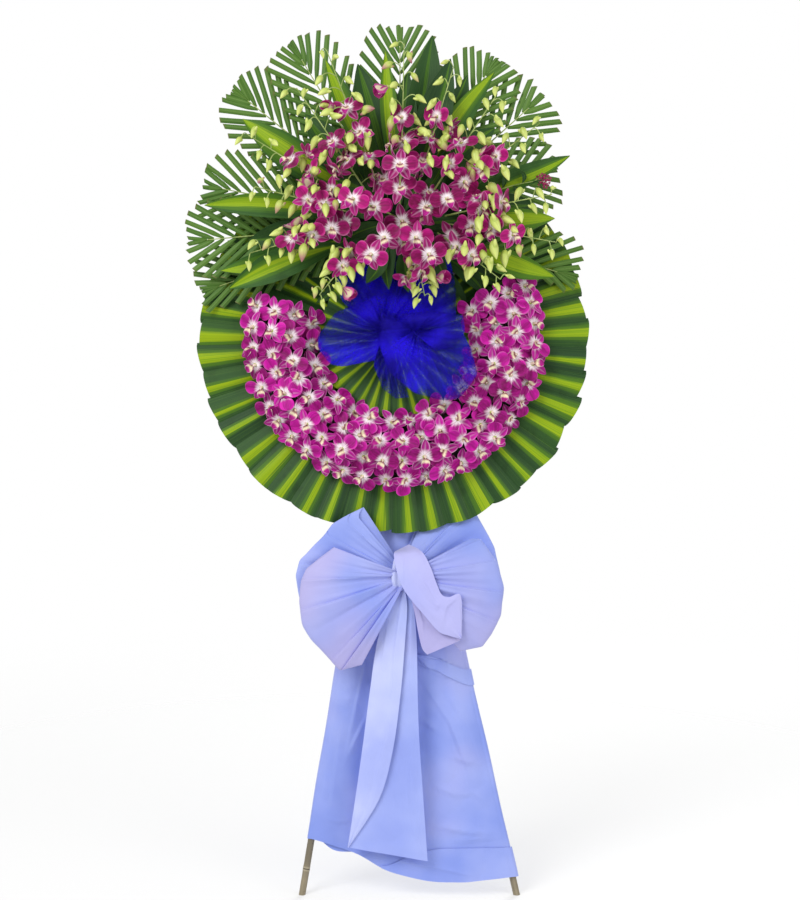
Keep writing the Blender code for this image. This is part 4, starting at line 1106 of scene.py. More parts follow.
def frond(cluster, start, length, shares, rng):
    """A rib with narrow folded leaflets on both sides, trimmed to a blunt rounded outline."""
    first, last = max(start + 0.008, FROND_BARE), length - 0.040
    middle, half_length = (first + length) / 2, (length - first) / 2

    def reach_of(x0, lean, share):
        reach = 0.0
        while reach < LONGEST_LEAFLET:
            x = x0 + math.cos(lean) * reach
            y = abs(math.sin(lean)) * reach
            ring = abs((x - middle) / half_length) ** 5 + (y / FROND_HALF_WIDTH) ** 4
            if y > FROND_HALF_WIDTH * share or ring > 1:
                break
            reach += 2 * MM
        return reach

    rib = [(start - ROOT_DEPTH + (last + 0.004 - start + ROOT_DEPTH) * t / 14,
            -0.004 * math.sin(math.pi * t / 14), 0) for t in range(15)]
    cluster.add(tube(rib, np.linspace(2.4, 0.9, 15) * MM), None, 0.8, 1)
    pitch = LEAFLET_PITCH * rng.uniform(0.86, 1.10)
    for side, share in zip((1, -1), shares):
        x0 = first + rng.uniform(0, 8) * MM
        while x0 < last:
            done = (x0 - first) / (last - first)
            slant = math.radians(50 - 18 * done - 14 * done ** 6)
            lean = slant + swing(rng, 0.035)
            reach = reach_of(x0, lean, share)
            if reach > 0.014:
                add_leaflet(cluster, (x0, side * 1.0 * MM), lean * side, reach, rng)
            x0 += min(pitch / math.sin(slant), 0.028 - 0.014 * done ** 4)
    for turn in (-0.16, 0.02, 0.20):
        add_leaflet(cluster, (last, 0), turn, reach_of(last, turn, 1) * 0.95, rng, 0.7)


def add_leaflet(cluster, root, angle, length, rng, narrow=1.0):
    """A folded strip that ends in a slanting cut."""
    t, v = lattice(8, 5)
    length = length + swing(rng, 3) * MM
    width = rng.uniform(4.9, 6.1) * MM * narrow
    width = width * (0.40 + 0.60 * np.minimum(1, t * 4)) * (1 - 0.12 * t)
    reach = length * t - rng.uniform(0.1, 0.6) * width * v * (t == 1)
    side = swing(rng, 4) * MM * t * t
    lift = -1.3 * MM + 2.4 * MM * np.abs(v) + rng.uniform(-4.0, 3.0) * MM * t * t
    lift = lift + swing(rng, 0.25) * width * v * t
    x = root[0] + math.cos(angle) * reach - math.sin(angle) * (width * v + side)
    z = root[1] + math.sin(angle) * reach + math.cos(angle) * (width * v + side)
    cluster.add(shell(np.stack([x, lift, z], 2)), None, rng.random())


def make_ruff():
    """Short dark leaves round the foam and over its face, which close the gaps."""
    rng = random.Random(SEEDS["ruff"])
    cluster = Cluster()
    for over_face, count, lengths, widths, arch in RUFF:
        for k in range(count):
            angle = TAU * (k + swing(rng, 0.3)) / count
            if over_face:
                start, depth = 0.020 + 0.035 * (k % 2), FOAM_FRONT - (7 + 4 * (k % 2)) * MM
            else:
                start, depth = exit_distance(angle) + 2 * MM, -0.0405 + 0.6 * MM * (k % 2)
            length = start + rng.uniform(*lengths)
            leaf = broad_leaf(start, length, rng.uniform(*widths) * MM, rng, arch * MM)
            cluster.add(leaf, standing(angle, depth), rng.random())
    cluster.build("dark_leaves", "leaf", [DARK])


def make_foliage():
    """Palm fronds and broad leaves, made along +X and then stood round the foam."""
    rng = random.Random(SEEDS["foliage"])
    for i, (degrees, length, layer, low_share) in enumerate(FRONDS, 1):
        angle = math.radians(degrees)
        shares = (low_share, 1) if math.cos(angle) < 0 else (1, low_share)
        cluster = Cluster()
        frond(cluster, exit_distance(angle), length, shares, rng)
        obj = cluster.build(f"palm_{i}", "palm", [PALM, STEM], [f"palm_frond_{i}"])
        obj.data.transform(standing(angle, FROND_LAYERS[layer]))
    for i, (degrees, length, half, layer) in enumerate(LEAVES, 1):
        angle = math.radians(degrees)
        start = exit_distance(angle)
        cluster = Cluster()
        cluster.add(broad_leaf(start, length, half, rng), None, rng.random())
        stalk = [(start - ROOT_DEPTH + t * 8 * MM, 0, 0) for t in range(6)]
        cluster.add(tube(stalk, np.linspace(3.0, 2.0, 6) * MM), paint=1)
        paint = DARK if degrees in DARK_LEAVES else BROAD
        obj = cluster.build(f"long_leaf_{i}", "leaf", [paint, STEM], [f"broad_leaf_{i}"])
        obj.data.transform(standing(angle, LEAF_LAYERS[layer]))
    for i, (degrees, length, half, depth, dark) in enumerate(EXTRA_LEAVES, 1):
        angle = math.radians(degrees)
        cluster = Cluster()
        leaf = broad_leaf(exit_distance(angle) + 2 * MM, length, half, rng)
        cluster.add(leaf, None, rng.random())
        obj = cluster.build(f"low_leaf_{i}", "leaf", [DARK if dark else BROAD])
        obj.data.transform(standing(angle, depth))


# Sprays


def spray_path(x, z, layer):
    """The start, control point and tip of a spray's stem."""
    angle = math.atan2(z, x)
    start = FOAM + Vector((SPRAY_FACE[0] * math.cos(angle), FOAM_FRONT - SPRAY_ROOT,
                           SPRAY_FACE[1] * math.sin(angle)))
    tip = FOAM + Vector((x, SPRAY_LAYERS[layer], z))
    out = Vector((tip.x - start.x, 0, tip.z - start.z))
    return start, start + out * 0.22 + TO_FRONT * SPRAY_BEND, tip


def make_sprays():
    """Stems with open blooms, a few more at their sides, and buds that get smaller to the tip."""
    solid_rng = random.Random(SPRAY_SEED)
    rng = random.Random(SEEDS["sprays"])
    for i, (x, z, layer) in enumerate(SPRAYS, 1):
        path = spray_path(x, z, layer)
        outward = Vector((x, 0, z)).normalized()
        side = Vector((-outward.z, 0, outward.x))
        cluster = Cluster()
        line = [path[0] - TO_FRONT * (SPRAY_ROOT + ROOT_DEPTH), *arc(path, 16)]
        cluster.add(tube(line, np.linspace(2.1, 0.9, len(line)) * MM), paint=STEM_AT)
        for t in BLOOM_STATIONS[layer]:
            sway = Vector((swing(solid_rng, 0.3), 0, solid_rng.uniform(-0.2, 0.3)))
            normal = (TO_FRONT + outward * 0.25 + sway).normalized()
            roll = swing(solid_rng, SPRAY_ROLL)
            stem = bezier(*path, t)
            place = stem + normal * BLOOM_STAND_OFF
            nod = Vector((swing(rng, 0.8), rng.uniform(0, 0.5), rng.uniform(-0.8, 0.35)))
            add_bloom(cluster, OPEN_BLOOMS, rng, place, (normal + nod).normalized(),
                      roll + swing(rng, 0.6), rng.uniform(0.92, 1.12), stem, (-2, 1.1, 8))
        flip = 1
        for t in EXTRA_STATIONS:
            flip = -flip
            stem = bezier(*path, t + swing(rng, 0.03))
            away = side * flip * rng.uniform(0.020, 0.034)
            away += Vector((0, rng.uniform(-0.012, 0.004), -0.004))
            turned = side * flip * rng.uniform(0.5, 1.8)
            turned += Vector((0, rng.uniform(0, 1.0), rng.uniform(-0.9, 0.2)))
            kinds = OPEN_BLOOMS if t < 0.6 else HALF_BLOOMS if t < 0.75 else SHUT_BLOOMS
            if rng.random() < EXTRA_SHARE:
                add_bloom(cluster, kinds, rng, stem + away, (TO_FRONT + turned).normalized(),
                          swing(rng, 0.8), rng.uniform(0.86, 1.02), stem, (3, 1.0, 7))
        for k in range(BUDS):
            share = (k + swing(rng, 0.3)) / (BUDS - 1)
            flip = -flip
            size = (BUD_SIZE - BUD_SHRINK * share) * rng.uniform(0.85, 1.12)
            away = side * flip * rng.uniform(0.5, 1.1) + outward * 0.4
            away += Vector((0, rng.uniform(-0.9, 0.2), 0))
            joint = bezier(*path, min(1, BUDS_FROM + (1 - BUDS_FROM) * share))
            add_bud(cluster, rng, joint, away, size)
        for _ in range(FRONT_BUDS):
            flip = -flip
            away = side * flip * rng.uniform(0.1, 0.9) + TO_FRONT * 1.2
            joint = bezier(*path, rng.uniform(0.36, 0.62))
            add_bud(cluster, rng, joint, away, rng.uniform(*FRONT_BUD_SIZES))
        cluster.build(f"spray_{i}", "orchid", SPRAY_PAINTS, [f"orchid_spray_{i}"])
    make_centre(solid_rng, rng)
    make_heart(rng)
    make_sprig(rng)


def make_centre(solid_rng, rng):
    """The bunch in the middle, on one short trunk."""
    hub = FOAM + Vector((0, FOAM_FRONT - CENTRE_HUB, 0))
    cluster = Cluster()
    for degrees in CENTRE_ANGLES:
        out = radial(math.radians(degrees))
        tip = FOAM + out * CENTRE_REACH + Vector((0, CENTRE_DEPTH, 0))
        path = (hub, hub + Vector((0, -0.060, 0)) + out * 0.030, tip)
        cluster.add(tube(arc(path, 8), np.linspace(2.1, 1.4, 9) * MM), paint=STEM_AT)
        for t in CENTRE_STATIONS:
            normal = (TO_FRONT + out * 0.30).normalized()
            stem = bezier(*path, t)
            add_bloom(cluster, OPEN_BLOOMS, rng, stem + normal * CENTRE_STAND_OFF, normal,
                      swing(solid_rng, SPRAY_ROLL), rng.uniform(1.0, 1.12), stem)
    add_bloom(cluster, OPEN_BLOOMS, rng, hub + Vector((4, -34, -8)) * MM,
              Vector((0.1, -1, -0.2)), 0.3, 1.1)
    add_stalk(cluster, hub, hub + Vector((4, -26, -6)) * MM, 0, 1.2 * MM)
    trunk = [FOAM + Vector((0, FOAM_FRONT + ROOT_DEPTH, 0)), hub]
    cluster.add(tube(trunk, 4 * MM, 10), paint=STEM_AT)
    cluster.build("spray_centre", "orchid", SPRAY_PAINTS, ["orchid_spray_centre"])


def make_heart(rng):
    """Blooms on short stems round the bunch in the middle."""
    cluster = Cluster()
    for k in range(HEART_BLOOMS):
        share = math.sqrt((k + 0.6) / HEART_BLOOMS)
        out = radial(k * GOLDEN_ANGLE)
        place = Vector((HEART_HALF[0] * share * out.x, FOAM_FRONT - 0.052 + 0.030 * share,
                        HEART_HALF[1] * share * out.z + 0.004))
        root = Vector((place.x * 0.7, FOAM_FRONT + 4 * MM, place.z * 0.55))
        sway = Vector((swing(rng, 0.3), 0, swing(rng, 0.3)))
        normal = (TO_FRONT + out * 0.4 * share + sway).normalized()
        add_bloom(cluster, OPEN_BLOOMS, rng, FOAM + place, normal, swing(rng, 0.9),
                  rng.uniform(0.95, 1.1), FOAM + root, (0, 1.4, 8))
    cluster.build("heart_blooms", "orchid", SPRAY_PAINTS)


def make_sprig(rng):
    """A thin twig with small red flowers at the right of the sprays."""
    cluster = Cluster()
    path = [FOAM + Vector(place) for place in SPRIG_PATH]
    cluster.add(tube(arc(path, 10), np.linspace(1.3, 0.7, 11) * MM, 6), paint=STEM_AT)
    for k in range(SPRIG_FLOWERS):
        off = radial(k * GOLDEN_ANGLE) * 0.012 * math.sqrt(k / SPRIG_FLOWERS)
        off.y = rng.uniform(-6, 2) * MM
        head = path[-1] + off
        add_stalk(cluster, bezier(*path, 0.90), head, 2 * MM, 0.5 * MM)
        matrix = facing(head, off + TO_FRONT * 0.010, rng.uniform(0, TAU))
        for petal in range(5):
            blade = tepal(TAU * petal / 5, (4.5 * MM, 2.4 * MM), (0.6, 0.4, 2.0), (0.5, -0.2), 0.1,
                          rng, (5, 5))
            cluster.add(blade, matrix, rng.random(), SPRIG_AT)
    for k in range(4):
        turn = Matrix.Rotation(-0.4 + (1.1 if k % 2 else -1.1), 4, "Y")
        place = Matrix.Translation(bezier(*path, 0.55 + 0.11 * k)) @ turn
        cluster.add(broad_leaf(1 * MM, 0.026, 4.5 * MM, rng, 2 * MM), place, 0.3, DARK_AT)
    cluster.build("red_sprig", "orchid", [*BLOOM_PAINTS, SPRIG, DARK])


# Cloth and net


def curve(knots, t):
    """A smooth line through evenly spaced knots, which are numbers or points, at t from 0 to 1."""
    knots = np.asarray(knots, float)
    at = np.clip(np.asarray(t, float), 0, 1) * (len(knots) - 1)
    k = np.minimum(at.astype(int), len(knots) - 2)
    f = at - k
    if knots.ndim > 1:
        f = f[..., None]
    a, b = knots[np.maximum(k - 1, 0)], knots[k]
    c, d = knots[k + 1], knots[np.minimum(k + 2, len(knots) - 1)]
    return 0.5 * (2 * b + (c - a) * f + (2 * a - 5 * b + 4 * c - d) * f ** 2
                  + (3 * b - a - 3 * c + d) * f ** 3)


def fold_row(rng, count):
    """Uneven folds across a gathered cloth: where each crest and hollow lies, and its height."""
    steps = [rng.uniform(0.5, 1.5) for _ in range(2 * count)]
    places = np.concatenate([[0], np.cumsum(steps)]) / sum(steps)
    heights = np.array([(1 if k % 2 else -1) * rng.uniform(0.35, 1.0) for k in range(len(places))])
    return places, heights


def fold_height(row, w):
    """The height of a row of folds, half sharp and half round."""
    tent = np.interp(w, *row)
    return 0.55 * tent + 0.45 * np.sin(tent * math.pi / 2)


def creases(x, z, lines):
    """Heights of tucks: a step up on the left of each line, easing off on both sides.

    A line has a height in mm, the share of it that its right side keeps, a width in mm and then
    the places that it runs through.
    """
    total = np.zeros(np.shape(x))
    for height, kept, width, *places in lines:
        places = np.array(places, float)
        lengths = np.hypot(*np.diff(places, axis=0).T)
        nearest = np.full(np.shape(x), 1e9)
        done, side = np.zeros(np.shape(x)), np.zeros(np.shape(x))
        for k, length in enumerate(lengths):
            (x0, z0), (dx, dz) = places[k], places[k + 1] - places[k]
            t = np.clip(((x - x0) * dx + (z - z0) * dz) / length ** 2, 0, 1)
            off = np.hypot(x - x0 - dx * t, z - z0 - dz * t)
            closer = off < nearest
            nearest = np.where(closer, off, nearest)
            done = np.where(closer, (lengths[:k].sum() + t * length) / lengths.sum(), done)
            side = np.where(closer, (z - z0) * dx - (x - x0) * dz, side)
        over = 0.5 + 0.5 * np.tanh(np.sign(side) * nearest)
        left = over * np.exp(-nearest / (1.7 * width))
        right = (1 - over) * kept * np.exp(-nearest / width)
        total += height * (left + right) * np.sin(math.pi * (0.04 + 0.92 * done)) ** 0.7
    return total


def tucks(w, share, lines):
    """Heights of tucks that run out from a knot: each at w, with a height and a reach inwards."""
    total = np.zeros(np.broadcast(w, share).shape)
    for at, height, start in lines:
        off = w - at
        rise = np.where(off > 0, np.exp(-off / 0.09), -0.4 * np.exp(off / 0.05))
        ease = np.clip((share - start) / 0.25, 0, 1)
        total += height * MM * rise * ease * (1 - 0.35 * share)
    return total


def outline_point(outline, w):
    """A place on a row of straight edges with softened corners, at w from 0 to 1."""
    points = np.array(outline, float)
    lengths = np.concatenate([[0], np.cumsum(np.hypot(*np.diff(points, axis=0).T))])
    found = np.zeros((*np.shape(w), 2))
    for shift in (-0.020, -0.010, 0, 0.010, 0.020):
        at = np.clip(w + shift * np.sin(math.pi * w), 0, 1) * lengths[-1]
        found[..., 0] += np.interp(at, lengths, points[:, 0]) / 5
        found[..., 1] += np.interp(at, lengths, points[:, 1]) / 5
    return found


def crumpled(grid, size, depth, seed):
    """Soft dents and sharp crests all over a sheet, in its depth."""
    rows, cols = grid.shape[:2]
    for i in range(rows):
        for j in range(cols):
            place = Vector(grid[i, j]) / size + Vector((seed, 0, 0))
            grid[i, j, 1] += depth * (0.6 - 2 * abs(noise.noise(place)))
    return grid


def loop_grid(knot, outline, depths, body, folds, rng, opening, lines, size, gather, crumple):
    """A flat loop of cloth gathered at its knot: out in front, over its end and back behind.

    outline: its far edge, as places in mm. depths: where its middle lies, from the knot outwards.
    folds: how many, and how deep. opening: how far the part behind shows past the first edge
    of the part in front, in mm.
    """
    s = np.linspace(0, 1, size[0])[:, None]
    w = np.linspace(0, 1, size[1])[None, :]
    share = (1 - np.cos(TAU * s)) / 2
    behind = np.clip((s - 0.39) / 0.11, 0, 1)
    behind = behind ** 2 * (3 - 2 * behind)
    ripple = fold_height(fold_row(rng, folds[0]), w)
    fine = fold_height(fold_row(rng, 3 * folds[0]), w)
    far = outline_point(outline, w) * MM
    start, second = np.array(outline[0]) * MM, np.array(outline[1]) * MM
    shift = (start - second) / np.linalg.norm(start - second) * opening * MM
    reach = share * (1 + 0.024 * FOLDS_KEPT * ripple * share)
    dx = (far[..., 0] + shift[0] * behind * (1 - w) ** 2 - knot[0]) * reach
    dz = (far[..., 1] + shift[1] * behind * (1 - w) ** 2 - knot[2]) * reach
    edge = np.sin(math.pi * w) ** 0.5
    half = body / 2 * np.sin(TAU * s) * np.sin(math.pi * s) * (0.35 + 0.65 * edge)
    sway = 0.06 * body * np.sin(5.1 * w + 3 * share + rng.uniform(0, TAU)) * share
    pleats = folds[1] * ripple * (FOLDS_KEPT + (1 - FOLDS_KEPT) * (1 - share) ** 0.8)
    pleats = pleats + 0.30 * folds[1] * fine * (1 - share) ** 0.6 - tucks(w, share, lines)
    y = curve(depths, share) - half + (pleats + sway) * np.minimum(1, 6 * share)
    across = outline_point(outline, np.minimum(1, w + 0.01)) - outline_point(outline, w - 0.01)
    across /= np.maximum(np.linalg.norm(across, axis=2, keepdims=True), 1e-9)
    off = gather * (w - 0.5) * 2 * (1 - share)
    grid = np.stack([knot[0] + dx + off * across[..., 0], y,
                     knot[2] + dz + off * across[..., 1]], 2)
    return crumpled(grid, 0.045, crumple * MM, rng.uniform(0, 50))


def strip_grid(left, right, folds, rng, lines, rows, cols):
    """Cloth between two edges, given as points in mm from top to bottom, with folds along it."""
    t = np.linspace(0, 1, rows)
    w = np.linspace(0, 1, cols)[None, :]
    a, b = curve(left, t)[:, None, :], curve(right, t)[:, None, :]
    grid = a + (b - a) * w[..., None]
    ripple = fold_height(fold_row(rng, folds[0]), w + 0.04 * np.sin(4 * t)[:, None])
    grid[..., 1] -= folds[1] * ripple * (0.6 + 0.4 * t)[:, None]
    grid[..., 1] -= creases(grid[..., 0], grid[..., 2], lines)
    return crumpled(grid * MM, 0.040, 1.0 * MM, rng.uniform(0, 50))


def grid_size(grid):
    """The longest row, the mean column and the area of a sheet, measured along it."""
    grid = np.asarray(grid)
    length = np.linalg.norm(np.diff(grid, axis=0), axis=2).sum(0).mean()
    width = np.linalg.norm(np.diff(grid, axis=1), axis=2).sum(1).max()
    a = np.diff(grid, axis=0)[:, :-1]
    b = np.diff(grid, axis=1)[:-1]
    area = np.linalg.norm(np.cross(a, b), axis=2).sum()
    return float(width), float(length), float(area)


def cloth_piece(name, grid, slot, paint, nodes, thickness=CLOTH, tint=0.5):
    """A sheet of cloth of even thickness. The size of its own surface is measured but not used."""
    obj = single(name, shell(grid, thickness), slot, paint, nodes, tint, sharp=80)
    width, length, area = grid_size(grid)
    return obj


# Name, left edge and right edge from top to bottom in mm, folds, creases, grid size, paint, tint
TAILS = (
    ("tail_long",
     ((8, -56, 628), (-14, -64, 590), (-34, -60, 520), (-48, -54, 420), (-61, -48, 320),
      (-75, -44, 220), (-92, -40, 108)),
     ((22, -60, 630), (38, -66, 590), (45, -62, 520), (47, -56, 420), (50, -48, 330),
      (58, -42, 210), (67, -38, 80)),
     (2, 1.6), TAIL_CREASES, (100, 48), TAIL_SHADED, 0.35, ["bow_tail_long"]),
    ("tail_lap",
     ((9, -61, 627), (-12, -71, 590), (-33, -68, 520), (-48, -61, 420), (-61, -54, 320),
      (-75, -49, 220), (-92, -43, 109)),
     ((20, -66, 629), (26, -73, 590), (21, -70, 510), (13, -63, 415), (-3, -55, 300),
      (-30, -50, 205), (-91, -43, 108)),
     (2, 1.2), LAP_CREASES, (100, 30), TAIL_PAINT, 0.25, []),
    ("tail_short",
     ((6, -44, 700), (0, -70, 694), (5, -84, 664), (14, -88, 636), (30, -92, 610),
      (58, -95, 577), (87, -97, 544), (108, -97, 535), (132, -93, 528)),
     ((30, -46, 712), (56, -76, 698), (72, -88, 670), (83, -92, 640), (94, -95, 616),
      (108, -98, 611), (130, -100, 616), (134, -97, 578), (133, -93, 532)),
     (2, 1.6), SHORT_CREASES, (90, 44), TAIL_SHADED, 0.75, ["bow_tail_short"]),
    ("tail_fold",
     ((34, -72, 608), (42, -76, 573), (48, -79, 540), (56, -80, 508), (66, -80, 496)),
     ((46, -74, 612), (70, -82, 580), (98, -86, 552), (126, -86, 531), (130, -84, 524)),
     (2, 1.6), FOLD_CREASES, (50, 34), CLOTH_PAINT, 1.0, []),
    ("knot",
     ((20, -9, 700), (16, -48, 700), (2, -66, 688), (-4, -74, 660), (-3, -72, 632),
      (8, -48, 606), (14, -9, 602)),
     ((40, -9, 700), (46, -48, 700), (58, -68, 688), (60, -76, 660), (50, -72, 632),
      (32, -48, 604), (24, -9, 600)),
     (4, 2.2), (), (60, 36), TAIL_PAINT, 0.5, ["bow_knot"]),
)


def make_tails():
    """The tails of the bow with their folds, and its knot."""
    rng = random.Random(SEEDS["tails"])
    for name, left, right, folds, lines, size, paint, tint, nodes in TAILS:
        grid = strip_grid(left, right, folds, rng, lines, *size)
        cloth_piece(name, grid, "pale_cloth", paint, nodes, tint=tint)


# Name, knot or tie, outline in mm, depths, body, folds, opening in mm, tint, tucks and solids
BOW_LOOPS = (
    ("loop_left_back", KNOT, ((-80, 777), (-106, 764), (-133, 748), (-150, 723), (-190, 680),
                              (-197, 650), (-187, 604), (-176, 580)),
     (-0.048, -0.054, -0.057), 0.016, (4, 0.0040), 22, 0.15,
     ((0.10, 3.0, 0.45), (0.30, 3.5, 0.20), (0.62, 3.0, 0.25)), []),
    ("loop_left_front", KNOT, ((-119, 708), (-174, 665), (-183, 644), (-187, 601), (-182, 555),
                               (-162, 524), (-107, 465), (-64, 475)),
     (-0.066, -0.084, -0.076), 0.034, (4, 0.0045), 0, 0.60,
     ((0.27, 4.5, 0.40), (0.45, 6.0, 0.15), (0.80, 5.0, 0.20), (0.89, 6.5, 0.05)),
     ["bow_loop_left"]),
    ("loop_right_back", KNOT, ((50, 744), (112, 764), (142, 772), (166, 776), (202, 705),
                               (218, 628)),
     (-0.050, -0.030, -0.016), 0.016, (4, 0.0030), 8, 0.0,
     ((0.30, 2.5, 0.30), (0.66, 3.0, 0.20)), []),
    ("loop_right_front", KNOT, ((152, 724), (172, 723), (205, 677), (218, 628), (212, 573),
                                (193, 534), (175, 511), (132, 501)),
     (-0.064, -0.072, -0.062), 0.044, (4, 0.0045), 0, 0.45,
     ((0.06, 3.0, 0.45), (0.24, 4.5, 0.15), (0.46, 6.0, 0.10), (0.66, 5.0, 0.20)),
     ["bow_loop_right"]),
)
NET_LOOPS = (
    ("net_sheet", LEFT_TIE, ((124, 1150), (122, 1223), (110, 1285), (14, 1300), (-98, 1270),
                             (-115, 1234), (-102, 1193), (-62, 1164)),
     (-0.086, -0.076, -0.066), 0.014, (3, 0.0060), 0, 0.15,
     ((0.30, 4.0, 0.1), (0.52, 6.0, 0.05), (0.74, 4.0, 0.2)), []),
    ("net_end", LEFT_TIE, ((30, 1004), (4, 1002), (-22, 1020), (-40, 1066)),
     (-0.088, -0.080, -0.066), 0.006, (2, 0.0030), 0, 0.35, ((0.5, 2.0, 0.1),), []),
    ("net_loop_left", LEFT_TIE, ((-50, 1196), (-122, 1165), (-153, 1121), (-150, 1096),
                                 (-127, 1068), (-102, 1063), (-38, 1075)),
     (-0.100, -0.112, -0.116), 0.036, (3, 0.0050), 14, 0.55,
     ((0.22, 5.0, 0.15), (0.48, 6.0, 0.05), (0.72, 5.0, 0.2)), ["net_left"]),
    ("net_loop_right", RIGHT_TIE, ((-26, 1160), (-30, 1100), (-10, 1046), (40, 1008),
                                   (96, 994), (128, 999), (164, 1046), (152, 1096), (134, 1132)),
     (-0.100, -0.114, -0.118), 0.044, (4, 0.0055), 10, 0.75,
     ((0.16, 6.0, 0.05), (0.36, 5.0, 0.2), (0.55, 6.0, 0.1), (0.78, 6.0, 0.05)),
     ["net_right"]),
    ("net_loop_small", RIGHT_TIE, ((20, 1166), (84, 1172), (138, 1164), (140, 1132), (120, 1100),
                                   (82, 1092)),
     (-0.106, -0.132, -0.130), 0.028, (4, 0.0055), 12, 0.95,
     ((0.30, 6.0, 0.1), (0.60, 6.0, 0.1)), []),
)


def make_loops(loops, seed, slot, paint, rests_on, thickness, **shape):
    """Sheets that are gathered at the knot or at a tie."""
    rng = random.Random(seed)
    for name, tie, outline, depths, body, folds, opening, tint, lines, nodes in loops:
        grid = loop_grid(tie, outline, depths, body, folds, rng, opening, lines, **shape)
        cloth_piece(name, grid, slot, paint, nodes, thickness, tint)


def leg_x(foot, z):
    """Where a front leg's axis is at a height."""
    top = math.copysign(SPINE_RADIUS + LEG_RADIUS + 0.5 * MM, foot)
    return top + (foot - top) * (1 - z / APEX_Z)


def skirt_grid(rows, cols, top_line, hem_line, span, depth):
    """Cloth over the two front legs, between two lines given as heights across it.

    span: from where to where across, 0 and 1 being the legs; beyond them it wraps round a leg.
    """
    front = SPINE_Y - LEG_RADIUS - SKIRT_CLEARANCE - CLOTH / 2 + depth
    side = LEG_RADIUS + SKIRT_CLEARANCE - depth
    drop = np.linspace(1, 0, rows)[:, None]
    s = np.linspace(*span, cols)[None, :]
    inner = np.clip(s, 0, 1)
    middle = np.sin(math.pi * inner)
    top, hem = curve(top_line, inner), curve(hem_line, inner)
    z = hem + (top - hem) * drop
    left, right = leg_x(LEFT_FOOT_X, z), leg_x(RIGHT_FOOT_X, z)
    x = left + (right - left) * inner
    low = (SKIRT_TOP - z) / SKIRT_TOP
    drape = 3.0 * np.sin(2.3 * TAU * inner + 2.2 * low) + 1.2 * np.sin(5.3 * TAU * inner - 6 * low)
    folds = creases(x / MM, z / MM, SKIRT_CREASES)
    relief = (drape * 0.8 + folds * 1.5) * MM * np.minimum(1, 2.5 * middle)
    y = front - SKIRT_BELLY * middle ** 0.6 - relief
    beyond = s - inner
    turn = np.minimum(1, np.abs(beyond) / 0.08) * 1.9
    wrapped = np.abs(beyond) > 0
    loose = 1 + 0.15 * np.sin(11 * low + 4 * inner) ** 2
    x = np.where(wrapped, x + np.sign(beyond) * side * loose * np.sin(turn), x)
    y = np.where(wrapped, SPINE_Y - side * np.cos(turn), y)
    return crumpled(np.stack([x, y, z + 0 * x], 2), 0.060, 1.6 * MM, 3.0)


def make_skirt():
    """The skirt, the part of it that hangs out below at the left, a lap and a turned-up hem."""
    legs = ["bamboo_leg_left", "bamboo_leg_right"]
    layers = (
        ("skirt_cloth", (170, 122), (SKIRT_TOP,) * 2, SKIRT_HEM, (-0.08, 1.08), 0, 0.30, ["skirt"],
         legs),
        ("skirt_under", (24, 80), (0.300,) * 2, UNDER_HEM, (0.02, 0.98), 6.0, 0.05, [],
         ["skirt_cloth"]),
        ("skirt_lap", (24, 60), LAP_TOP, LAP_HEM, (0.52, 1.08), -2.6, 0.0, [], ["skirt_cloth"]),
        ("skirt_hem", (30, 84), HEM_TOP, SKIRT_HEM, (0.365, 1.08), -2.6, 0.10, [], ["skirt_cloth"]),
    )
    for name, size, top, hem, span, depth, tint, nodes, rests_on in layers:
        grid = skirt_grid(*size, top, hem, span, depth * MM)
        cloth_piece(name, grid, "pale_cloth", CLOTH_PAINT, nodes, tint=tint)


# Stand


def pole(name, low, high, radius, node, rng):
    """A bamboo pole: rings at its joints, slightly uneven between them, cut off at the floor."""
    low, high = Vector(low), Vector(high)
    length = (high - low).length
    joints = []
    at = rng.uniform(*FIRST_JOINT)
    while at < length:
        joints.append(at)
        at += rng.uniform(*JOINT_SPACING)
    stations = {0.0, length}
    for joint in joints:
        stations |= {joint + o * MM for o in (-9, -5, -2.5, -1, 0, 1, 2.5, 5, 9)}
    stations |= {length * k / 12 for k in range(13)}
    stations = sorted(s for s in stations if 0 <= s <= length)
    radii, rings = [], []
    for s in stations:
        near = min((abs(s - joint) for joint in joints), default=1)
        swell = 0.10 * math.exp(-(near / (5 * MM)) ** 2) - 0.10 * math.exp(-(near / (1 * MM)) ** 2)
        radii.append(radius * (0.97 + swell))
        rings.append(math.exp(-(near / (4 * MM)) ** 2))
    path = [low.lerp(high, s / length) for s in stations]
    points, faces, along, across, _ = tube(path, radii, POLE_SIDES)
    world = np.array(PANEL)
    points = points @ world[:3, :3].T + world[:3, 3]
    axis = np.array(PANEL.to_3x3() @ (high - low).normalized())
    under = points[:, 2] < 0
    points[under] -= np.outer(points[under, 2] / axis[2], axis)
    back = np.array([*np.repeat(rings, POLE_SIDES), 0, 0])
    single(name, (points, faces, along, across, back), "bamboo", BAMBOO, [node], rng.random(),
           panel=False, sharp=40)


def slat(name, z, node, rng):
    """A split bamboo batten: flat, with softened edges and a faint joint."""
    rows, cols = 40, 7
    grid = np.zeros((rows, cols, 3))
    for i in range(rows):
        t = i / (rows - 1)
        for j in range(cols):
            v = -1 + 2 * j / (cols - 1)
            crown = 0.8 * MM * (1 - v * v)
            knot = 0.5 * MM * math.exp(-((t - BATTEN_JOINT) / 0.012) ** 2)
            grid[i, j] = (BATTEN[0] * (t - 0.5), BATTEN[1] / 2 + crown * 0.4 + knot,
                          z + (BATTEN[2] / 2 - 0.3 * MM) * v)
    surface = shell(grid, BATTEN[1] - 1.6 * MM)
    single(name, surface, "bamboo", BAMBOO, [node], rng.random(), sharp=40)


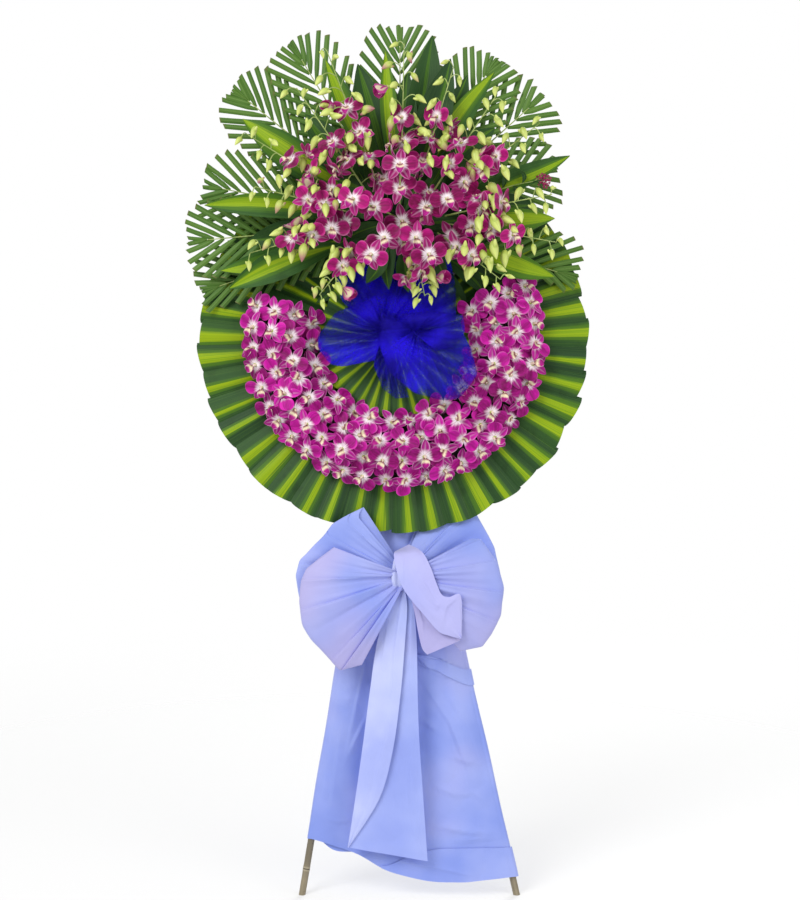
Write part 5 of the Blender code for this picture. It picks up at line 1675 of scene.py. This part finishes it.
def wound(turns, low, high, centre_y, reach, half):
    """Cord wound round upright poles: reach is between the outer poles' axes, half beyond them."""
    path = []
    steps = TURN_STEPS * turns
    for i in range(steps + 1):
        angle = TAU * i / TURN_STEPS
        x, y = math.cos(angle), math.sin(angle)
        path.append((reach[0] * math.tanh(2.2 * x) + half[0] * x,
                     centre_y + reach[1] * math.tanh(2.2 * y) + half[1] * y,
                     low + (high - low) * i / steps))
    return tube(path, CORD_RADIUS)


def make_lashing(back_y):
    """Cord round the spine and the front legs and at the back leg's head, and wire ties."""
    low = LASHING_Z - LASHING_HEIGHT / 2 + CORD_RADIUS
    high = low + LASHING_HEIGHT - 2 * CORD_RADIUS
    reach = (leg_x(RIGHT_FOOT_X, low) + 2 * GAP, 0)
    half = (LEG_RADIUS + CORD_RADIUS, SPINE_RADIUS + 0.5 * MM + CORD_RADIUS)
    cord = wound(7, low, high, SPINE_Y, reach, half)
    single("lashing", cord, "cord", CORD, ["apex_lashing"])
    middle = (SPINE_Y + back_y) / 2
    reach = (0, back_y - middle)
    cord = wound(6, *HEAD_LASHING, middle, reach, (SPINE_RADIUS + CORD_RADIUS,) * 2)
    single("head_lashing", cord, "cord", CORD)
    cluster = Cluster()
    turns = [TAU * i / 24 for i in range(25)]
    for z, slant, k in itertools.product(BATTEN_HEIGHTS, (-1, 1), range(4)):
        path = []
        for turn in turns:
            x = (SPINE_RADIUS + 0.8 * MM) * math.cos(turn)
            y = SPINE_Y - 3 * MM + (SPINE_RADIUS + 3.8 * MM) * math.sin(turn)
            path.append((x, y, z + slant * 1.2 * x + (k - 1.5) * 1.6 * MM))
        cluster.add(tube(path, WIRE_RADIUS, 6))
    cluster.build("batten_ties", "cord", [WIRE])


def make_board():
    """The foam disc with softened edges, and the foam block of the CAD model."""
    edge = 2 * MM
    profile = ((1 * MM, -GAP), (BOARD_RADIUS - edge, -GAP), (BOARD_RADIUS, -GAP - edge),
               (BOARD_RADIUS, BOARD_FRONT + edge), (BOARD_RADIUS - edge, BOARD_FRONT),
               (1 * MM, BOARD_FRONT))
    disc = tube([(0, y, DISC_Z) for _, y in profile], [radius for radius, _ in profile], 96)
    single("foam_disc", disc, "foam_board", BOARD, ["backing_board"], sharp=40)
    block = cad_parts["foam_block"]
    block.data.materials.clear()
    block.data.materials.append(FOAM_GREEN)


def make_stand():
    """The poles and battens, which stand a little into the floor and are cut off there."""
    rng = random.Random(SEEDS["stand"])
    below = -0.030
    for side, foot in (("left", LEFT_FOOT_X), ("right", RIGHT_FOOT_X)):
        pole(f"bamboo_leg_{side}", (leg_x(foot, below), SPINE_Y, below),
             (leg_x(foot, APEX_Z), SPINE_Y, APEX_Z), LEG_RADIUS, f"leg_{side}", rng)
    slope = math.atan2(BACK_LEG_FOOT, BACK_LEG_TOP)
    back_y = SPINE_Y + SPINE_RADIUS + GAP + LEG_RADIUS * math.cos(slope)
    pole("bamboo_leg_back", (0, BACK_LEG_FOOT, below), (0, back_y, BACK_LEG_TOP), LEG_RADIUS,
         "leg_back", rng)
    pole("bamboo_spine", (0, SPINE_Y, SPINE_ENDS[0]), (0, SPINE_Y, SPINE_ENDS[1]), SPINE_RADIUS,
         "spine_pole", rng)
    rail_y = SPINE_Y + LEG_RADIUS + GAP + RAIL_RADIUS
    pole("bamboo_rail", (leg_x(LEFT_FOOT_X, RAIL_Z) - RAIL_OVERHANG, rail_y, RAIL_Z),
         (leg_x(RIGHT_FOOT_X, RAIL_Z) + RAIL_OVERHANG, rail_y, RAIL_Z), RAIL_RADIUS,
         "lower_rail", rng)
    for place, z in zip(("lower", "upper"), BATTEN_HEIGHTS):
        slat(f"slat_{place}", z, f"batten_{place}", rng)
    make_lashing(SPINE_Y + SPINE_RADIUS + GAP + LEG_RADIUS * 1.6)
    make_board()


# Stage, light and camera


def make_stage():
    """A pale floor that fades out round the wreath."""
    mesh = bpy.data.meshes.new("floor")
    corners = [(x * FLOOR_HALF, y * FLOOR_HALF, 0) for x, y in ((-1, -1), (1, -1), (1, 1), (-1, 1))]
    mesh.from_pydata(corners, [], [(0, 1, 2, 3)])
    add_object("floor", mesh)
    paint = Paint("pale_floor", 0.7)
    paint.set("Base Color", (244, 244, 244))
    away = paint.node("VectorMath", "Value", {"Vector": paint.place}, operation="LENGTH")
    paint.set("Alpha", (1.0 - paint.step(away, 0.3, 2.6)) * 0.6)
    mesh.materials.append(paint.material)


def make_lamps():
    """Round area lamps that point at the wreath."""
    for name, place, size, power in LAMPS:
        lamp = bpy.data.lights.new(name, "AREA")
        lamp.shape = "DISK"
        lamp.size = size
        lamp.energy = power
        obj = add_object(name, lamp)
        obj.location = place
        obj.rotation_euler = (LAMP_TARGET - Vector(place)).to_track_quat("-Z", "Y").to_euler()


def make_world():
    """Soft light from all round, in front of a white background."""
    world = bpy.data.worlds.new("studio")
    bpy.context.scene.world = world
    world.use_nodes = True
    tree = world.node_tree
    soft = tree.nodes["Background"]
    white = tree.nodes.new("ShaderNodeBackground")
    for sky, strength in ((soft, WORLD_STRENGTH), (white, 1.0)):
        sky.inputs["Color"].default_value = (1, 1, 1, 1)
        sky.inputs["Strength"].default_value = strength
    seen = tree.nodes.new("ShaderNodeLightPath").outputs["Is Camera Ray"]
    either = tree.nodes.new("ShaderNodeMixShader")
    for socket, source in zip(either.inputs, (seen, soft.outputs[0], white.outputs[0])):
        tree.links.new(source, socket)
    tree.links.new(either.outputs[0], tree.nodes["World Output"].inputs["Surface"])


def make_camera():
    """A camera square on to the panel."""
    scene = bpy.context.scene
    camera = bpy.data.cameras.new("camera")
    camera.sensor_width = SENSOR
    camera.lens = SENSOR * VIEW_DISTANCE / VIEW_HEIGHT
    camera.clip_end = 50
    scene.camera = add_object("camera", camera)
    place = Matrix.Translation((VIEW_CENTRE[0], BOARD_FRONT - VIEW_DISTANCE, VIEW_CENTRE[1]))
    scene.camera.matrix_world = PANEL @ place @ Matrix.Rotation(math.pi / 2, 4, "X")
    scene.view_settings.view_transform = "Standard"


make_camera()
make_world()
make_lamps()
make_stage()
make_stand()
make_fans()
make_band()
make_ruff()
make_foliage()
make_sprays()
make_loops(NET_LOOPS, SEEDS["net"], "blue_net", NET_PAINT, "inner_leaves", NET,
           size=(44, 90), gather=0.008, crumple=2.6)
make_skirt()
make_tails()
make_loops(BOW_LOOPS, SEEDS["bow"], "pale_cloth", CLOTH_PAINT, "knot", CLOTH,
           size=(56, 130), gather=0.012, crumple=1.2)
